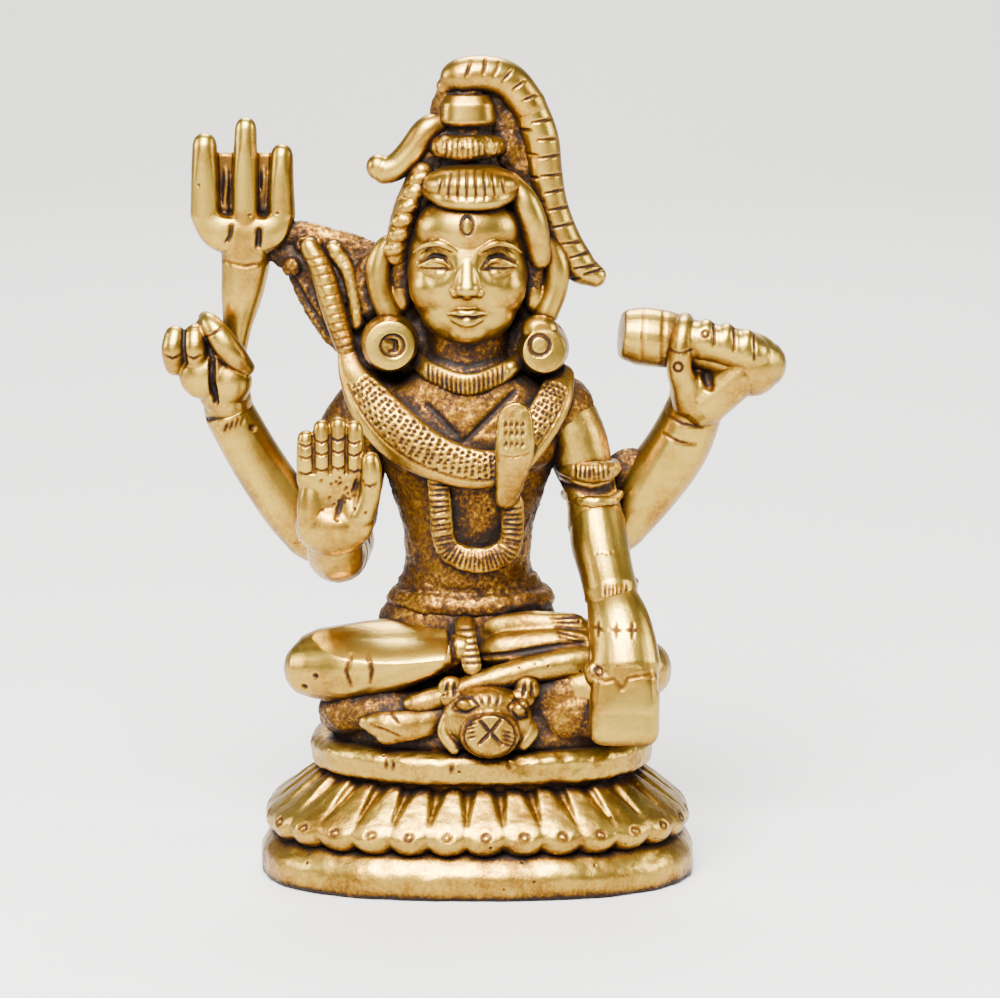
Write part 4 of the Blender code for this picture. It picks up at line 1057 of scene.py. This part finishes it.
strand = cast("hair_strand_inner_cast", [roll([(-14.2, 1.2, 62.6, 0.9), (-12.8, 0.9, 60.4, 0.9),
    (-12.1, 0.5, 57.8, 0.85), (-11.9, 0.3, 55.2, 0.8)])], grain=0.13, soften=4)
roughen(strand, 0.8, 0.2)
done(strand, "chased_brass", "hair_strand_inner")

# %% [markdown]
# ## Ornaments
#
# A ribbed necklace, a cobra laid round the shoulders with its hood raised on the chest, and a garland.

# %% Necklace
necklace = cast("neck_collar_cast", [
    roll([(-6.0, -1.4, 51.9, 0.8), (-4.4, -3.6, 50.9, 1.0), (-0.9, -4.9, 49.9, 1.15), (2.6, -3.6, 50.9, 1.0),
        (4.2, -1.4, 51.9, 0.8)], flat=0.6, facing=(0, -1, 0)),
    roll([(-5.4, 1.6, 52.6, 0.9), (-0.9, 4.2, 52.8, 1.0), (3.6, 1.6, 52.6, 0.9), (4.4, -1.0, 52.0, 0.8),
        (3.4, -3.0, 51.3, 0.8)]),
    roll([(-6.2, -1.0, 52.0, 0.8), (-5.8, 1.0, 52.4, 0.9), (-4.2, 3.0, 52.8, 0.9)]),
], grain=0.13, soften=4)
chase(necklace, [[(-4.9 + k * 0.47, 51.9 - 1.4 * math.sin(math.pi * (k + 0.8) / 17.6)),
    (-4.8 + k * 0.46, 50.3 - 1.4 * math.sin(math.pi * (k + 0.8) / 17.6))] for k in range(17)], 0.16, 0.16)
done(necklace, "chased_brass", "neck_collar")

# %% Cobra and its hood
cobra_path = [(-13.0, -0.8, 52.8, 0.9), (-12.2, -2.2, 50.4, 1.5), (-10.4, -4.2, 47.8, 2.3),
    (-7.6, -5.7, 45.0, 2.6), (-4.0, -6.5, 42.9, 2.3),
              (0.0, -6.9, 41.8, 2.0), (3.4, -6.6, 42.4, 1.7), (5.8, -5.6, 45.2, 1.8), (7.6, -4.0, 48.2, 1.8),
              (8.4, -1.6, 50.4, 1.4)]
cobra = cast("cobra_collar_cast", [roll(cobra_path, flat=0.45, facing=(0, -1, 0))], grain=0.14, soften=4)
curve = flowing(cobra_path, 12)
jitter = np.random.default_rng(7)
scales = []
for i in range(15, len(curve) - 5, 2):
    x, y, z, r = curve[i]
    run = curve[i + 1] - curve[i - 1]
    side = np.array((-run[2], run[0])) / np.hypot(run[0], run[2])
    shift = 0.24 if (i // 2) % 2 else 0.0
    for q in np.arange(-0.38 * r + shift, 0.85 * r, 0.5):
        a, b = jitter.uniform(-0.11, 0.11, 2)
        scales.append(dot(x + side[0] * q + a, z + side[1] * q + b))
chase(cobra, scales, 0.23, 0.2, taper=0, dark=0.9)
edge = [(x + 0.5 * r * run[2] / np.hypot(run[0], run[2]), z - 0.5 * r * run[0] / np.hypot(run[0], run[2]))
        for (x, y, z, r), run in zip(curve[14:-6], curve[15:-5] - curve[13:-7])]
chase(cobra, [edge], 0.22, 0.12, taper=0, dark=0.5)
done(cobra, "chased_brass", "cobra_collar")

hood = cast("cobra_hood_cast", [
    roll([(3.8, -8.2, 46.9, 1.8), (3.75, -8.3, 45.2, 1.95), (3.7, -8.2, 43.4, 1.9), (3.3, -7.8, 41.0, 1.5),
        (2.9, -7.0, 38.8, 1.1)], flat=0.55),
], grain=0.12, soften=5)
file_flat(hood, (3.8, -8.95, 45.0), (0, -1, 0.14), reach=4)
roughen(hood, 0.9, 0.12)
chase(hood, [[(2.9 + k * 0.55, z + 0.5), (2.85 + k * 0.55, z)] for z in (46.3, 45.5, 44.4) for k in range(4)],
    0.15, 0.13)
chase(hood, [[(2.4, 43.5), (3.7, 43.3), (5.1, 43.8)]], 0.2, 0.1, dark=0.5)
done(hood, "polished_brass", "cobra_hood")

# %% Garland
garland_path = [(-3.8, -5.7, 40.6, 1.1), (-3.6, -5.9, 38.0, 1.15), (-3.3, -5.8, 35.0, 1.15),
    (-2.6, -5.8, 33.4, 1.2), (-0.6, -6.1, 32.6, 1.3),
                (1.4, -6.1, 32.7, 1.3), (3.0, -5.9, 33.6, 1.2), (3.5, -5.9, 35.6, 1.15),
                (3.5, -6.2, 38.4, 1.1)]
garland = cast("garland_cast", [roll(garland_path, flat=0.7)], grain=0.13, soften=4)
roughen(garland, 0.8, 0.25)
curve = flowing(garland_path, 10)
ribs = []
for i in range(2, len(curve) - 2, 2):
    x, y, z, r = curve[i]
    run = curve[i + 1] - curve[i - 1]
    side = np.array((-run[2], run[0])) / np.hypot(run[0], run[2]) * 0.85
    a, b = jitter.uniform(-0.16, 0.16, 2)
    ribs.append([(x - side[0], z - side[1] + a), (x + side[0], z + side[1] + b)])
chase(garland, ribs, 0.17, 0.17, taper=0.4)
done(garland, "chased_brass", "garland")

# %% [markdown]
# ## Studio
#
# A pale sweep, one large soft light in front and above with a weak one below it, one at each side, one behind
# and one on the paper, and a dim sky, so that the metal has something dark to mirror between the lights.

# %% Sweep, lights and camera
# The paper in metres: half its width, its near and far edge, the wall's height and the radius of the fold.
SIDE, NEAR, FAR, WALL, FOLD = 2.2, -2.4, 1.0, 1.4, 0.35
bpy.ops.object.select_all(action="DESELECT")
bpy.ops.mesh.primitive_plane_add(size=1, location=(0, 0, 0))
sweep = bpy.context.object
sweep.name = "studio_sweep"
corners = [(-SIDE, NEAR, 0), (SIDE, NEAR, 0), (-SIDE, FAR, 0), (SIDE, FAR, 0)]
sweep.data.vertices.foreach_set("co", np.array(corners, dtype=float).ravel())
bpy.ops.object.mode_set(mode="EDIT")
bpy.ops.mesh.select_all(action="DESELECT")
bpy.ops.mesh.select_mode(type="EDGE")
bpy.ops.object.mode_set(mode="OBJECT")
for edge in sweep.data.edges:
    edge.select = all(sweep.data.vertices[v].co.y > 0.4 for v in edge.vertices)
bpy.ops.object.mode_set(mode="EDIT")
bpy.ops.mesh.extrude_region_move(TRANSFORM_OT_translate={"value": (0, 0, WALL)})
bpy.ops.mesh.select_all(action="DESELECT")
bpy.ops.object.mode_set(mode="OBJECT")
fold = sweep.modifiers.new("fold", "BEVEL")
fold.width = FOLD
fold.segments = 12
apply_all(sweep)
bpy.ops.object.shade_smooth()
paper = bpy.data.materials.new("matt_white_paper")
paper.use_nodes = True
paper.node_tree.nodes["Principled BSDF"].inputs["Base Color"].default_value = paint("#B3B1AE")
paper.node_tree.nodes["Principled BSDF"].inputs["Roughness"].default_value = 0.9
sweep.data.materials.append(paper)

AIM = Vector((2.3, 0, 37.6)) * MM


def soft_light(name, place, size, watts, colour="#FFFFFF", aim=AIM / MM):
    """A square soft light at a place in millimetres, facing the figure."""
    lamp = bpy.data.lights.new(name, "AREA")
    lamp.size = size * MM
    lamp.energy = watts
    lamp.color = paint(colour)[:3]
    obj = bpy.data.objects.new(name, lamp)
    obj.location = Vector(place) * MM
    obj.rotation_euler = (Vector(aim) * MM - obj.location).to_track_quat("-Z", "Y").to_euler()
    obj.visible_camera = False
    bpy.context.collection.objects.link(obj)


soft_light("key", (-60, -330, 430), 290, 24)
soft_light("front", (-160, -520, 200), 240, 1.3)
soft_light("left_side", (-520, -40, 220), 220, 3.0)
soft_light("right_side", (520, -60, 220), 220, 3.0)
soft_light("backdrop", (0, 480, 760), 420, 20)
soft_light("paper", (0, 420, 640), 300, 9, aim=(0, 1000, 240))

sky = bpy.data.worlds.new("dim_studio")
bpy.context.scene.world = sky
sky.use_nodes = True
sky.node_tree.nodes["Background"].inputs["Color"].default_value = paint("#B9B4AC")
sky.node_tree.nodes["Background"].inputs["Strength"].default_value = 0.08

lens = bpy.data.cameras.new("camera")
lens.lens = 162
lens.sensor_width = 36
lens.clip_start = 0.01
camera = bpy.data.objects.new("camera", lens)
rise = math.radians(10)
camera.location = AIM + Vector((0, -math.cos(rise), math.sin(rise))) * 450 * MM
camera.rotation_euler = (AIM - camera.location).to_track_quat("-Z", "Y").to_euler()
bpy.context.collection.objects.link(camera)
bpy.context.scene.camera = camera
